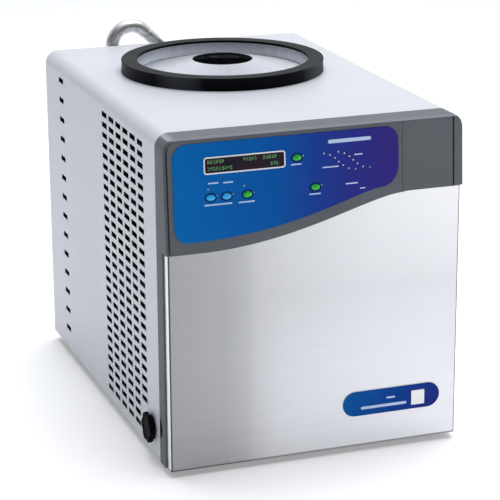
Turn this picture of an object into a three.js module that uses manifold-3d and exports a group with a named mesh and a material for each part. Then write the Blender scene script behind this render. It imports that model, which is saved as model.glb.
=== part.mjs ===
// Benchtop freeze dryer: collector cabinet with its refrigeration system, controls and vacuum line.
// Millimetres, +Z up. The front faces -Y. While it is built, x = 0 is the middle of the cabinet,
// y = 0 is the cover's front edge and z = 0 is the bench. At the end the whole dryer is moved so
// that its origin is the middle of its footprint on the bench.

import * as THREE from 'three';
import { mergeVertices } from 'three/addons/utils/BufferGeometryUtils.js';
import Module from 'manifold-3d';

const wasm = await Module();
wasm.setup();

// ---------------------------------------------------------------- driving dimensions

// Cabinet
const WIDTH = 358;
const COVER_DEPTH = 480;
const COVER_TOP = 396;
const COVER_BOTTOM = 11.5;
const COVER_CORNER = 16;
const SHEET = 1.5;
const FOOT_HEIGHT = 8;
const FOOT_RADIUS = 14;
const FOOT_INSET = 42;
const FOOT_EDGE = 1;
const FOOT_TAPER = 1.5;
const CLEAR = 0.3; // running and fitting gap between neighbours
const CUT = 1; // how far a cutter reaches past the face it cuts

// Air slots in the cover's sides
const SLOT_LENGTH = 21.5;
const SLOT_HEIGHT = 6.6;
const SLOT_TOP_GAP = 23.6; // from the cover's top to the middle of the top row
const SLOT_ROW_PITCH = 12.8;
const SLOT_ROWS = 28;
const SLOT_COLUMN_PITCH = 29;
const SLOT_COLUMNS = 6;
const SLOT_FRONT = 57; // from the cover's front edge to the middle of the front column
const REAR_SLOT_INSET = 77; // from the cover's rear edge
const REAR_SLOT_ROWS = 14;
const RIGHT_SLOT_COLUMNS = 2; // outlet slots beside the compressor
const RIGHT_SLOT_ROWS = 6;
const RIGHT_SLOT_INSET = 106;

// Base pan and rear panel
const PAN_FLOOR = 2;
const PAN_FLANGE = 20;
const PANEL_FLANGE = 12;
const REAR_INSET = 1;
const LOUVRE_LENGTH = 60;
const LOUVRE_HEIGHT = 5;
const LOUVRE_PITCH = 13;
const LOUVRE_ROWS = 7;
const LOUVRE_SIDE_GAP = 44;
const LOUVRE_BOTTOM = 60;

// Front frame and its hood
const FRAME_WALL = 3;
const FRAME_DEPTH = 21;
const FRAME_BOTTOM = 8.5;
const HOOD_DEPTH = 30; // how far the hood's top edge stands out
const HOOD_EDGE = 2.4; // rounding round the hood's front
const HOOD_LEAN = 0.0615; // how much further the face stands out for each millimetre down
const HOOD_BACK = 5;
const LEDGE = 2.5;
const LEDGE_REACH = 8;
const POCKET_DEPTH = 3.4;
const FINGER_NOTCH_RADIUS = 14;
const FINGER_NOTCH_Y = 4.6;
const FINGER_NOTCH_Z = 50.5;

// Lower edge of the fascia: low on the left, a smooth rise, high on the right
const SWOOSH_LEFT_DROP = 130.7; // from the cover's top
const SWOOSH_RIGHT_DROP = 84;
const SWOOSH_LEFT_FLAT = 38; // from the cabinet's side to where the curve starts
const SWOOSH_RIGHT_FLAT = 66;
const SWOOSH_PULL_LEFT = 121;
const SWOOSH_PULL_RIGHT = 51;

// Control fascia and what it carries
const FASCIA_LEFT_GAP = 4.4; // from the cabinet's side
const FASCIA_RIGHT_GAP = 13;
const FASCIA_TOP_GAP = 4;
const FASCIA_THICK = 2.6;
const FASCIA_SEAM = 0.3;
const GROOVE = 2; // round the fascia
const GROOVE_ABOVE = 0.6; // the same along its upper edge
const OVERLAY_THICK = 0.6;
const OVERLAY_LEFT_GAP = 5.6; // from the fascia's edge
const OVERLAY_RIGHT_GAP = 67.5;
const OVERLAY_TOP_GAP = 6.5;
const OVERLAY_CORNER = 17;
const OVERLAY_MARGIN = 13; // strip of bare fascia under the overlay
const OVERLAY_TAIL_PULL = 0.4; // how far its lower edge has still to rise near the right end
const OVERLAY_TAIL_END = 0.35;
const DISPLAY_IN = 83.4; // from the overlay's left edge
const DISPLAY_DOWN = 33.4; // from the cover's top
const DISPLAY_WIDTH = 95.5;
const DISPLAY_HEIGHT = 19.4;
const DISPLAY_RIM = 1.5;
const DISPLAY_CORNER = 2.5;
const MODULE_MARGIN = 4;
const MODULE_DEPTH = 5;
const BUTTON_WIDTH = 10.6;
const BUTTON_HEIGHT = 7.2;
const BUTTON_PROUD = 1.8;
const BUTTON_DOME = 0.8;
const BUTTON_CROWN = 0.7; // flat part of the cap, as a share of its radius
const BUTTON_TRAVEL = 1.2;
const BUTTON_FLANGE = 1.4;
const BUTTON_FLANGE_REACH = 1.2;
const GREEN = 0x28a046;
const SKY_BLUE = 0x2896d7;
// Each button's place: in from the overlay's left edge, and down from the cover's top.
const BUTTONS = [
  { name: 'menu_button', inward: 145, down: 33.5, colour: GREEN },
  { name: 'select_button', inward: 166.4, down: 68.8, colour: GREEN },
  { name: 'vacuum_button', inward: 85.9, down: 69.2, colour: GREEN },
  { name: 'auto_button', inward: 43, down: 69, colour: SKY_BLUE },
  { name: 'manual_button', inward: 61.7, down: 69.1, colour: SKY_BLUE },
];
const BOARD_THICK = 1.6;
const BOARD_GAP = 9; // from the face to the board's front
const BOARD_LEFT_GAP = 17; // from the overlay's edges
const BOARD_RIGHT_GAP = 38.5;
const BOARD_DOWN = 12; // from the cover's top
const BOARD_HEIGHT = 70;
const POST_HALF = 2.5;
const POST_INSET = 5;
const SWITCH_SIZE = 6;

// Stainless front panel and badge
const PANEL_STANDOUT = 33;
const PANEL_INSET = 2.5; // from the cabinet's side to the panel's side
const PANEL_SHEET = 1.2;
const PANEL_BEND = 2.5;
const PANEL_BOTTOM = 8;
const BADGE_SIDE_GAP = 23.5;
const BADGE_WIDTH = 122.8;
const BADGE_UP = 52.2; // from the panel's lower edge to the badge's middle
const BADGE_HEIGHT = 31;
const BADGE_THICK = 1;
const TILE_IN = 28; // from the badge's right end to the tile's middle
const TILE_DROP = 1.3;
const TILE_WIDTH = 17.6;
const TILE_HEIGHT = 19.4;
const TILE_THICK = 0.5;

// Collector: chamber, gasket, baffle, coil and insulation
const COLLECTOR_REAR_GAP = 190; // from the cover's rear edge to the collector's middle
const CHAMBER_RADIUS = 106.4;
const CHAMBER_WALL = 1.5;
const CHAMBER_DEPTH = 165;
const COLLAR_RADIUS = 121;
const GASKET_HEIGHT = 15.5;
const GASKET_RADIUS = 126.3;
const GASKET_WAIST = 1.2;
const GASKET_WAIST_HEIGHT = 8.5;
const GASKET_EDGE = 1.6;
const GASKET_LIP = 3;
const BAFFLE_DROP = 17.5; // from the gasket's top to the baffle's outer edge
const BAFFLE_HOLE = 36.6;
const BAFFLE_HOLE_DROP = 1.4;
const BAFFLE_SHEET = 1.2;
const BAFFLE_LIP = 3;
const BAFFLE_SEAT = 2;
const COIL_TURNS = 5;
const COIL_PITCH = 20;
const COIL_TUBE = 4.6;
const COIL_STEPS = 12; // to a turn
const COIL_BOTTOM = 22; // above the chamber's floor
const FOAM_WALL = 30;
const FOAM_FLOOR = 22;
const FOAM_FACETS = 20;
const ROUND = 36; // facets round a large turned piece
const SMALL_ROUND = 16;
const FEW_ROUND = 12;
const CURVE = 7; // short sides to each curve of the front's outlines

// Drain
const DRAIN_TUBE = 5;
const DRAIN_Y = 29;
const DRAIN_Z = 41;
const VALVE_RADIUS = 9;
const VALVE_REACH = 22; // from the cabinet's side to the outlet
const VALVE_SPIGOT = 15;
const OUTLET_END = 3; // height above the bench of the outlet's lower end
const STEM_RADIUS = 3;
const NECK_RADIUS = 6;
const KNOB_BASE_RADIUS = 14.5;
const KNOB_BASE = 2;
const KNOB_RADIUS = 18;
const KNOB_THICK = 5.8;
const KNOB_LOBES = 6;
const KNOB_LOBE_DEPTH = 2.8;
const LOBE_STEPS = 6; // short sides to each lobe

// Vacuum line
const PORT_X = 10;
const PORT_RADIUS = 6;
const PORT_BEND = 12;
const GOOSENECK_RADIUS = 8.75;
const GOOSENECK_BEND = 26;
const GOOSENECK_STANDOUT = 14; // from the cover's rear edge to the tube's middle
const GOOSENECK_SPAN = 94; // from the port to the leg
const GOOSENECK_DROP = 3; // from the cover's top to the middle of the bend
const GOOSENECK_SLOPE = 42; // degrees below level on the way down to the port
const GOOSENECK_TAIL = 6;
const SLEEVE_RADIUS = 8.1;
const SLEEVE_LENGTH = 17;
const GOOSENECK_LEG = 93;
const PUMP_FLANGE_RADIUS = 15;
const PUMP_FLANGE = 4;
const PUMP_NIPPLE = 34;
const NIPPLE_RADIUS = 7;
const NIPPLE_WALL = 2;
const NIPPLE_EDGE = 1;
const NIPPLE_FLARE = 6;
const BRACKET_UP = 30; // from the leg's lower end
const BRACKET_HEIGHT = 16;
const BRACKET_WALL = 5;
const SENSOR_RADIUS = 9;
const SENSOR_HEIGHT = 20;
const SENSOR_REAR_GAP = 28;

// Refrigeration system
const COMPRESSOR_SIDE_GAP = 95;
const COMPRESSOR_REAR_GAP = 135;
const COMPRESSOR_RADIUS = 60;
const COMPRESSOR_HEIGHT = 150;
const COMPRESSOR_PLATE = 3;
const COMPRESSOR_DOME = 26; // height of its rounded ends
const COMPRESSOR_SHOULDER = 8;
const COMPRESSOR_END = 0.8; // radius of the can's ends, as a share of its own
const COMPRESSOR_CROWN = 0.45;
const WELD_BAND = 4; // height of the band where the can's halves meet
const WELD_REACH = 3;
const STUB_REACH = 8;
const STUB_DOWN = 38; // from the can's top to the discharge stub
const STUB_LOW = 52;
const STUB_FACETS = 8;
const MOUNT_HEIGHT = 8;
const MOUNT_RADIUS = 9;
const MOUNT_SPAN_X = 120;
const MOUNT_SPAN_Y = 84;
const CORE_SIDE_GAP = 5.5;
const CORE_THICK = 30;
const CORE_FRONT = 46;
const CORE_LENGTH = 186;
const CORE_HEIGHT = 186;
const CORE_RIM = 8;
const CORE_FIN = 1.6;
const CORE_FINS = 15;
const SERPENTINE_TUBE = 4;
const SERPENTINE_RUNS = 5;
const SHROUD_GAP = 10;
const SHROUD_THICK = 3;
const SHROUD_ROUND = 18; // facets to each half of its mouth
const FAN_RADIUS = 72;
const FAN_TIP_GAP = 4;
const FAN_HUB = 18;
const FAN_HUB_LENGTH = 18;
const HUB_GAP = 4; // from the shroud to the hub
const FAN_BLADES = 5;
const FAN_BLADE_CHORD = 42;
const BLADE_ROOT = 3; // how far a blade runs into the hub
const BLADE_NARROW = 0.45; // the blade's width at its root, as a share of its chord
const BLADE_PITCH = 38;
const BLADE_TWIST = 16;
const FAN_BLADE_THICK = 2;
const FAN_SHAFT = 4;
const MOTOR_RADIUS = 26;
const MOTOR_LENGTH = 42;
const STRAP_WIDTH = 22;
const STRAP_THICK = 3;
const STRAP_GAP = 6; // from the hub to the strap
const LINE_TUBE = 3.5;
const LINE_OVER = 0.5; // from the compressor's top to the suction line
const LINE_ENTRY_X = 40; // either side of the chamber's middle
const LINE_ENTRY_BACK = 40; // behind the chamber's middle
const RISER_BENDS = 8; // bends from the drier to where the liquid line turns up
const DRIER_RADIUS = 12;
const DRIER_LENGTH = 60;
const DRIER_NECK = 10;
const DRIER_GAP = 12;
const LINE_SOCKET = 1; // wall of a socket round the end of a line

// Electrics
const SUPPLY = { sideGap: 69, frontGap: 90, width: 80, depth: 120, height: 46 };
const CAPACITOR = { offset: -2, rearGap: 55, radius: 17, height: 62, edge: 2 };
const INLET = { sideGap: 39, up: 62, width: 28, height: 21, depth: 24, flange: 4 };
const SWITCH = { sideGap: 83, up: 62, width: 13, height: 21, depth: 17, flange: 3 };
const BEZEL_THICK = 2;
const PIN = { wide: 2, high: 5, spread: 7, drop: 2, earthRise: 4, reach: 0.7 };
const ROCKER_INSET = 1; // from the rear panel's outside to the pivot
const ROCKER_TILT = 8; // degrees either side of level
const ROCKER = { gap: 0.4, back: 3, belly: 5, bellyHalf: 3, end: 4.5, middle: 3, step: 1.5 };

// ---------------------------------------------------------------- values worked out from them

const HALF = WIDTH / 2;
const PAN_BOTTOM = FOOT_HEIGHT + 1;
const PAN_TOP = PAN_BOTTOM + PAN_FLOOR;
const SEAT_Z = PAN_TOP + CLEAR;
const GASKET_TOP = COVER_TOP + GASKET_HEIGHT;
const COLLAR_TOP = GASKET_TOP - GASKET_LIP;
const COLLECTOR_Y = COVER_DEPTH - COLLECTOR_REAR_GAP;
const CHAMBER_BOTTOM = GASKET_TOP - CHAMBER_DEPTH;
const FOAM_INNER = CHAMBER_RADIUS + CHAMBER_WALL + CLEAR;
const REAR_PANEL_Y = COVER_DEPTH - REAR_INSET - SHEET;
const SLOT_TOP = COVER_TOP - SLOT_TOP_GAP;
const SWOOSH_LEFT_Z = COVER_TOP - SWOOSH_LEFT_DROP;
const SWOOSH_RIGHT_Z = COVER_TOP - SWOOSH_RIGHT_DROP;
const SWOOSH_START_X = -HALF + SWOOSH_LEFT_FLAT;
const SWOOSH_END_X = HALF - SWOOSH_RIGHT_FLAT;
const FASCIA_LEFT = -HALF + FASCIA_LEFT_GAP;
const FASCIA_RIGHT = HALF - FASCIA_RIGHT_GAP;
const OVERLAY_LEFT = FASCIA_LEFT + OVERLAY_LEFT_GAP;
const OVERLAY_RIGHT = FASCIA_RIGHT - OVERLAY_RIGHT_GAP;
const DISPLAY_X = OVERLAY_LEFT + DISPLAY_IN;
const DISPLAY_Z = COVER_TOP - DISPLAY_DOWN;
const BOARD_LEFT = OVERLAY_LEFT + BOARD_LEFT_GAP;
const BOARD_RIGHT = OVERLAY_RIGHT - BOARD_RIGHT_GAP;
const BOARD_TOP = COVER_TOP - BOARD_DOWN;
const BOARD_BOTTOM = BOARD_TOP - BOARD_HEIGHT;
const BADGE_RIGHT = HALF - BADGE_SIDE_GAP;
const BADGE_LEFT = BADGE_RIGHT - BADGE_WIDTH;
const BADGE_Z = PANEL_BOTTOM + BADGE_UP;
const TILE_X = BADGE_RIGHT - TILE_IN;
const TILE_Z = BADGE_Z - TILE_DROP;
const VALVE_X = -HALF + VALVE_REACH;
const GOOSENECK_Y = COVER_DEPTH + GOOSENECK_STANDOUT;
const GOOSENECK_LEG_X = PORT_X - GOOSENECK_SPAN;
const GOOSENECK_ARC_Z = COVER_TOP - GOOSENECK_DROP;
const GOOSENECK_LEG_BOTTOM = GOOSENECK_ARC_Z - GOOSENECK_LEG;
const BRACKET_Z = GOOSENECK_LEG_BOTTOM + BRACKET_UP;
const SENSOR_Y = COVER_DEPTH - SENSOR_REAR_GAP;
const COMPRESSOR_X = HALF - COMPRESSOR_SIDE_GAP;
const COMPRESSOR_Y = COVER_DEPTH - COMPRESSOR_REAR_GAP;
const COMPRESSOR_BASE = PAN_TOP + MOUNT_HEIGHT;
const STUB_HIGH = COMPRESSOR_HEIGHT - STUB_DOWN;
const CORE_INNER_X = -HALF + SHEET + CORE_SIDE_GAP + CORE_THICK;
const SHROUD_FACE = CORE_INNER_X + SHROUD_GAP + SHROUD_THICK;
const HUB_BACK = SHROUD_FACE + HUB_GAP;
const HUB_FRONT = HUB_BACK + FAN_HUB_LENGTH;
const STRAP_X = HUB_FRONT + STRAP_GAP;
const TUBE_X = CORE_INNER_X + SERPENTINE_TUBE + CLEAR;
const LINE_ENTRY_Y = COLLECTOR_Y + LINE_ENTRY_BACK;
const LINE_ENTRY_Z = CHAMBER_BOTTOM - CLEAR;
const CORE_MIDDLE_Y = CORE_FRONT + CORE_LENGTH / 2;
const CORE_MIDDLE_Z = SEAT_Z + CORE_HEIGHT / 2;
const HOOD_TOP_Z = COVER_TOP;
const FASCIA_BACK = FASCIA_SEAM + FASCIA_THICK;

// ---------------------------------------------------------------- finishes

const finish = (color, roughness, metalness) => ({ color, roughness, metalness });
const WHITE_PAINT = finish(0xdfe1ea, 0.45, 0);
const GREY_PLASTIC = finish(0x5f6166, 0.5, 0);
const STAINLESS = finish(0xb9bcc2, 0.32, 1);
const GALVANISED = finish(0x9a9da1, 0.45, 1);
const BLACK_RUBBER = finish(0x17181b, 0.7, 0);
const BLACK_PLASTIC = finish(0x111214, 0.45, 0);
const BLACK_PAINT = finish(0x1b1b1d, 0.4, 0);
const BLUE_FILM = finish(0x0a57a0, 0.35, 0);
const DARK_GLASS = finish(0x101820, 0.1, 0);
const PALE_PLASTIC = finish(0xe6e8ec, 0.4, 0);
const GREEN_BOARD = finish(0x1c6b3c, 0.5, 0);
const COPPER = finish(0xb87345, 0.3, 1);
const ALUMINIUM = finish(0xb4b6b8, 0.4, 1);
const BRASS = finish(0xb99a4a, 0.35, 1);
const FOAM = finish(0x22242a, 0.9, 0);
const NAVY_PLASTIC = finish(0x1b3f8f, 0.35, 0);

// ---------------------------------------------------------------- solids

// Facing outwards: a closed surface that was drawn inside out is turned.
function outward(geometry) {
  const bare = geometry.clone();
  bare.deleteAttribute('normal');
  bare.deleteAttribute('uv');
  const merged = mergeVertices(bare, 1e-4);
  const p = merged.attributes.position;
  const index = merged.index.array;
  const a = new THREE.Vector3();
  const b = new THREE.Vector3();
  const c = new THREE.Vector3();
  let volume = 0;
  for (let i = 0; i < index.length; i += 3) {
    a.fromBufferAttribute(p, index[i]);
    b.fromBufferAttribute(p, index[i + 1]);
    c.fromBufferAttribute(p, index[i + 2]);
    volume += a.dot(b.cross(c));
  }
  if (volume < 0) {
    for (let i = 0; i < index.length; i += 3) {
      [index[i], index[i + 1]] = [index[i + 1], index[i]];
    }
  }
  return merged;
}

function toManifold(geometry) {
  const merged = outward(geometry);
  const mesh = new wasm.Mesh({
    numProp: 3,
    vertProperties: Float32Array.from(merged.attributes.position.array),
    triVerts: Uint32Array.from(merged.index.array),
  });
  return new wasm.Manifold(mesh);
}

function toGeometry(manifold) {
  const mesh = manifold.getMesh();
  const geometry = new THREE.BufferGeometry();
  geometry.setAttribute('position', new THREE.BufferAttribute(mesh.vertProperties, 3));
  geometry.setIndex(new THREE.BufferAttribute(mesh.triVerts, 1));
  return geometry;
}

const join = (...parts) => toGeometry(parts.map(toManifold).reduce((a, b) => a.add(b)));

function cut(body, ...cutters) {
  const tools = cutters.flat().map(toManifold);
  return toGeometry(toManifold(body).subtract(tools.reduce((a, b) => a.add(b))));
}

function block(low, high) {
  const size = high.map((v, i) => v - low[i]);
  const middle = high.map((v, i) => (v + low[i]) / 2);
  return new THREE.BoxGeometry(...size).translate(...middle);
}

// A flat outline given depth. Across Y it is drawn in x and z, across X in y and z.
function slab(shape, depth, curveSegments) {
  return new THREE.ExtrudeGeometry(shape, { depth, curveSegments, bevelEnabled: false });
}

function alongY(shape, y0, y1, curveSegments = 4) {
  return slab(shape, y1 - y0, curveSegments).rotateX(Math.PI / 2).translate(0, y1, 0);
}

function alongZ(shape, z0, z1, curveSegments = 4) {
  return slab(shape, z1 - z0, curveSegments).translate(0, 0, z0);
}

function alongX(shape, x0, x1, curveSegments = 4) {
  const turn = new THREE.Matrix4().set(0, 0, 1, 0, 1, 0, 0, 0, 0, 1, 0, 0, 0, 0, 0, 1);
  return slab(shape, x1 - x0, curveSegments).applyMatrix4(turn).translate(x0, 0, 0);
}

// Turned round the Z axis. The profile is a list of [radius, z] and either closes on itself or
// starts and ends on the axis.
function turned(profile, facets = SMALL_ROUND) {
  const points = profile.map(([r, z]) => new THREE.Vector2(r, z));
  return new THREE.LatheGeometry(points, facets).rotateX(Math.PI / 2);
}

const ring = (profile, facets) => turned([...profile, profile[0]], facets);

function rod(radius, z0, z1, facets = SMALL_ROUND) {
  return turned([[0, z0], [radius, z0], [radius, z1], [0, z1]], facets);
}

// The radius of a faceted hole whose flats, not only its corners, clear a shaft of this radius.
const clearing = (radius, facets = FEW_ROUND) => radius / Math.cos(Math.PI / facets);

const rodX = (radius, x0, x1, facets) => rod(radius, x0, x1, facets).rotateY(Math.PI / 2);
const rodY = (radius, y0, y1, facets) => rod(radius, -y1, -y0, facets).rotateX(Math.PI / 2);

function rectangle(x0, x1, z0, z1, corner = 0) {
  const shape = new THREE.Shape();
  if (corner === 0) {
    shape.moveTo(x0, z0).lineTo(x1, z0).lineTo(x1, z1).lineTo(x0, z1).closePath();
    return shape;
  }
  shape.moveTo(x0 + corner, z0);
  shape.lineTo(x1 - corner, z0);
  shape.absarc(x1 - corner, z0 + corner, corner, -Math.PI / 2, 0, false);
  shape.lineTo(x1, z1 - corner);
  shape.absarc(x1 - corner, z1 - corner, corner, 0, Math.PI / 2, false);
  shape.lineTo(x0 + corner, z1);
  shape.absarc(x0 + corner, z1 - corner, corner, Math.PI / 2, Math.PI, false);
  shape.lineTo(x0, z0 + corner);
  shape.absarc(x0 + corner, z0 + corner, corner, Math.PI, Math.PI * 1.5, false);
  return shape;
}

// A rectangle whose corners are each rounded by three short sides.
function trimmedRectangle(x, z, halfWide, halfHigh, corner) {
  const near = corner * (1 - Math.SQRT1_2);
  const quarter = [[0, corner], [near, near], [corner, 0]];
  const points = [];
  for (const [sideX, sideZ] of [[-1, -1], [1, -1], [1, 1], [-1, 1]]) {
    const inOrder = sideX * sideZ > 0 ? quarter : [...quarter].reverse();
    for (const [inX, inZ] of inOrder) {
      points.push(new THREE.Vector2(x + sideX * (halfWide - inX), z + sideZ * (halfHigh - inZ)));
    }
  }
  return new THREE.Shape(points);
}

const circle = (x, z, radius) => new THREE.Shape().absarc(x, z, radius, 0, Math.PI * 2, false);

// A tube's middle line: straight runs between corners, each corner rounded to the bend radius.
// Each straight run is one step and each bend a few, so a tube has no more facets than it needs.
class TubeRoute extends THREE.Curve {
  constructor(corners, bend, stepsPerBend = 5) {
    super();
    this.stations = [];
    const points = corners.map((c) => new THREE.Vector3(...c));
    const last = points.length - 1;
    const heading = (i) => points[i + 1].clone().sub(points[i]).normalize();
    this.stations.push([points[0], heading(0)]);
    for (let i = 1; i < last; i++) {
      this.addBend(points[i], heading(i - 1), heading(i), bend, stepsPerBend);
    }
    this.stations.push([points[last], heading(last - 1)]);
    this.steps = this.stations.length - 1;
  }

  addBend(corner, before, after, bend, steps) {
    const turn = before.angleTo(after);
    const axis = before.clone().cross(after).normalize();
    const start = corner.clone().addScaledVector(before, -bend * Math.tan(turn / 2));
    const inward = axis.clone().cross(before);
    const centre = start.clone().addScaledVector(inward, bend);
    for (let i = 0; i <= steps; i++) {
      const angle = (turn * i) / steps;
      const arm = start.clone().sub(centre).applyAxisAngle(axis, angle);
      this.stations.push([centre.clone().add(arm), before.clone().applyAxisAngle(axis, angle)]);
    }
  }

  station(u) {
    return this.stations[Math.round(u * this.steps)];
  }

  getPoint(u) {
    return this.station(u)[0].clone();
  }

  getPointAt(u) {
    return this.getPoint(u);
  }

  getTangentAt(u) {
    return this.station(u)[1].clone();
  }
}

class Helix extends THREE.Curve {
  constructor(radius, turns, pitch, bottom) {
    super();
    Object.assign(this, { radius, turns, pitch, bottom });
  }

  getPoint(t) {
    const angle = t * this.turns * Math.PI * 2;
    const z = this.bottom + t * this.turns * this.pitch;
    return new THREE.Vector3(Math.cos(angle) * this.radius, Math.sin(angle) * this.radius, z);
  }
}

function sweep(path, steps, radius, sides) {
  const section = new THREE.Shape();
  for (let i = 0; i < sides; i++) {
    const angle = ((i + 0.5) / sides) * Math.PI * 2;
    const move = i === 0 ? 'moveTo' : 'lineTo';
    section[move](Math.cos(angle) * radius, Math.sin(angle) * radius);
  }
  section.closePath();
  return new THREE.ExtrudeGeometry(section, { steps, extrudePath: path, bevelEnabled: false });
}

function tube(corners, radius, bend, sides = 6, stepsPerBend = 3) {
  const route = new TubeRoute(corners, bend, stepsPerBend);
  return sweep(route, route.steps, radius, sides);
}

// ---------------------------------------------------------------- assembly

const dryer = new THREE.Group();

function add(name, geometry, look, parent = dryer) {
  const mesh = new THREE.Mesh(outward(geometry), new THREE.MeshStandardMaterial(look));
  mesh.name = name;
  parent.add(mesh);
  return mesh;
}

// The control face leans back: a group whose y runs inwards and whose z runs up along the face.
// Heights on the face are given as heights above the bench and turned into face heights here.
const FACE_LEAN = Math.atan(HOOD_LEAN);
const FACE_TOP = COVER_TOP - 1;
const face = new THREE.Group();
face.position.set(0, -HOOD_DEPTH, FACE_TOP);
face.rotation.x = -FACE_LEAN;
dryer.add(face);
const onFace = (z) => (z - FACE_TOP) / Math.cos(FACE_LEAN);

// ---------------------------------------------------------------- cabinet

function coverOutline(half, top, bottom, corner) {
  const shape = new THREE.Shape();
  shape.moveTo(-half, bottom);
  shape.lineTo(-half, top - corner);
  shape.absarc(-half + corner, top - corner, corner, Math.PI, Math.PI / 2, true);
  shape.lineTo(half - corner, top);
  shape.absarc(half - corner, top - corner, corner, Math.PI / 2, 0, true);
  shape.lineTo(half, bottom);
  return shape;
}

function foldedCover() {
  const shape = coverOutline(HALF, COVER_TOP, COVER_BOTTOM, COVER_CORNER);
  const inner = HALF - SHEET;
  const corner = COVER_CORNER - SHEET;
  const shoulder = COVER_TOP - COVER_CORNER;
  shape.lineTo(inner, COVER_BOTTOM);
  shape.lineTo(inner, shoulder);
  shape.absarc(inner - corner, shoulder, corner, 0, Math.PI / 2, false);
  shape.lineTo(-inner + corner, COVER_TOP - SHEET);
  shape.absarc(-inner + corner, shoulder, corner, Math.PI / 2, Math.PI, false);
  shape.lineTo(-inner, COVER_BOTTOM);
  return alongY(shape, 0, COVER_DEPTH);
}

// Middles of the air slots. On the drain side the two that the knob would cover are left out.
function intakeSlots() {
  const centres = [];
  for (let column = 0; column < SLOT_COLUMNS; column++) {
    for (let row = 0; row < SLOT_ROWS; row++) {
      const y = SLOT_FRONT + column * SLOT_COLUMN_PITCH;
      const z = SLOT_TOP - row * SLOT_ROW_PITCH;
      const toKnob = Math.hypot(y - SLOT_LENGTH / 2 - DRAIN_Y, z - DRAIN_Z);
      if (toKnob > KNOB_RADIUS + SLOT_HEIGHT / 2) centres.push([y, z]);
    }
  }
  for (let row = 0; row < REAR_SLOT_ROWS; row++) {
    centres.push([COVER_DEPTH - REAR_SLOT_INSET, SLOT_TOP - row * 2 * SLOT_ROW_PITCH]);
  }
  return centres;
}

function outletSlots() {
  const centres = [];
  for (let column = 0; column < RIGHT_SLOT_COLUMNS; column++) {
    for (let row = 0; row < RIGHT_SLOT_ROWS; row++) {
      centres.push([COVER_DEPTH - RIGHT_SLOT_INSET - column * SLOT_COLUMN_PITCH,
        SLOT_TOP - (SLOT_ROWS - 1 - row * 2) * SLOT_ROW_PITCH]);
    }
  }
  return centres;
}

function slotCutters(side) {
  const inner = side * (HALF - SHEET - CUT);
  const outer = side * (HALF + CUT);
  const centres = side < 0 ? intakeSlots() : outletSlots();
  return centres.map(([y, z]) => block(
    [Math.min(inner, outer), y - SLOT_LENGTH / 2, z - SLOT_HEIGHT / 2],
    [Math.max(inner, outer), y + SLOT_LENGTH / 2, z + SLOT_HEIGHT / 2],
  ));
}

function cabinetCover() {
  const wallX = -HALF;
  const mouth = rod(CHAMBER_RADIUS + CHAMBER_WALL + CLEAR, COVER_TOP - SHEET - CUT,
    COVER_TOP + CUT, ROUND).translate(0, COLLECTOR_Y, 0);
  const neck = rodX(clearing(NECK_RADIUS + CLEAR), wallX - CUT, wallX + SHEET + CUT, FEW_ROUND)
    .translate(0, DRAIN_Y, DRAIN_Z);
  return cut(foldedCover(), mouth, neck, slotCutters(-1), slotCutters(1));
}

function basePan() {
  const half = HALF - SHEET - CLEAR;
  const front = CLEAR;
  const back = REAR_PANEL_Y - CLEAR;
  const inside = [half - PAN_FLOOR, front + PAN_FLOOR, back - PAN_FLOOR];
  const tray = block([-half, front, PAN_BOTTOM], [half, back, PAN_TOP + PAN_FLANGE]);
  const hollow = block([-inside[0], inside[1], PAN_TOP],
    [inside[0], inside[2], PAN_TOP + PAN_FLANGE + CUT]);
  const drainHole = rod(clearing(DRAIN_TUBE + CLEAR), PAN_BOTTOM - CUT, PAN_TOP + CUT, FEW_ROUND)
    .translate(VALVE_X, DRAIN_Y, 0);
  return cut(tray, hollow, drainHole);
}

function foot() {
  return turned([[0, 0], [FOOT_RADIUS - FOOT_EDGE, 0], [FOOT_RADIUS, FOOT_EDGE],
    [FOOT_RADIUS - FOOT_TAPER, PAN_BOTTOM], [0, PAN_BOTTOM]], FEW_ROUND);
}

function rearPanel() {
  const half = HALF - SHEET - CLEAR;
  const top = COVER_TOP - SHEET - CLEAR;
  const corner = COVER_CORNER - SHEET - CLEAR;
  const plate = alongY(coverOutline(half, top, COVER_BOTTOM, corner), REAR_PANEL_Y,
    REAR_PANEL_Y + SHEET);
  const flangeBottom = PAN_TOP + PAN_FLANGE + 2 * SHEET;
  const flange = coverOutline(half, top, flangeBottom, corner);
  const hollow = coverOutline(half - SHEET, top - SHEET, flangeBottom - CUT, corner - SHEET);
  const folded = cut(
    alongY(flange, REAR_PANEL_Y - PANEL_FLANGE, REAR_PANEL_Y + SHEET / 2),
    alongY(hollow, REAR_PANEL_Y - PANEL_FLANGE - CUT, REAR_PANEL_Y),
  );
  const through = [REAR_PANEL_Y - CUT, REAR_PANEL_Y + SHEET + CUT];
  const openings = [rodY(clearing(PORT_RADIUS), ...through, FEW_ROUND).translate(PORT_X, 0, PORT_Z)];
  for (const { sideGap, up, width, height } of [INLET, SWITCH]) {
    const x = HALF - sideGap;
    const z = up;
    const halfWide = width / 2 + SHEET + CLEAR;
    const halfHigh = height / 2 + SHEET + CLEAR;
    openings.push(block([x - halfWide, through[0], z - halfHigh],
      [x + halfWide, through[1], z + halfHigh]));
  }
  for (let row = 0; row < LOUVRE_ROWS; row++) {
    const z = LOUVRE_BOTTOM + row * LOUVRE_PITCH;
    const left = -HALF + LOUVRE_SIDE_GAP;
    openings.push(block([left, through[0], z - LOUVRE_HEIGHT / 2],
      [left + LOUVRE_LENGTH, through[1], z + LOUVRE_HEIGHT / 2]));
  }
  return cut(join(plate, folded), openings);
}

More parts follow.
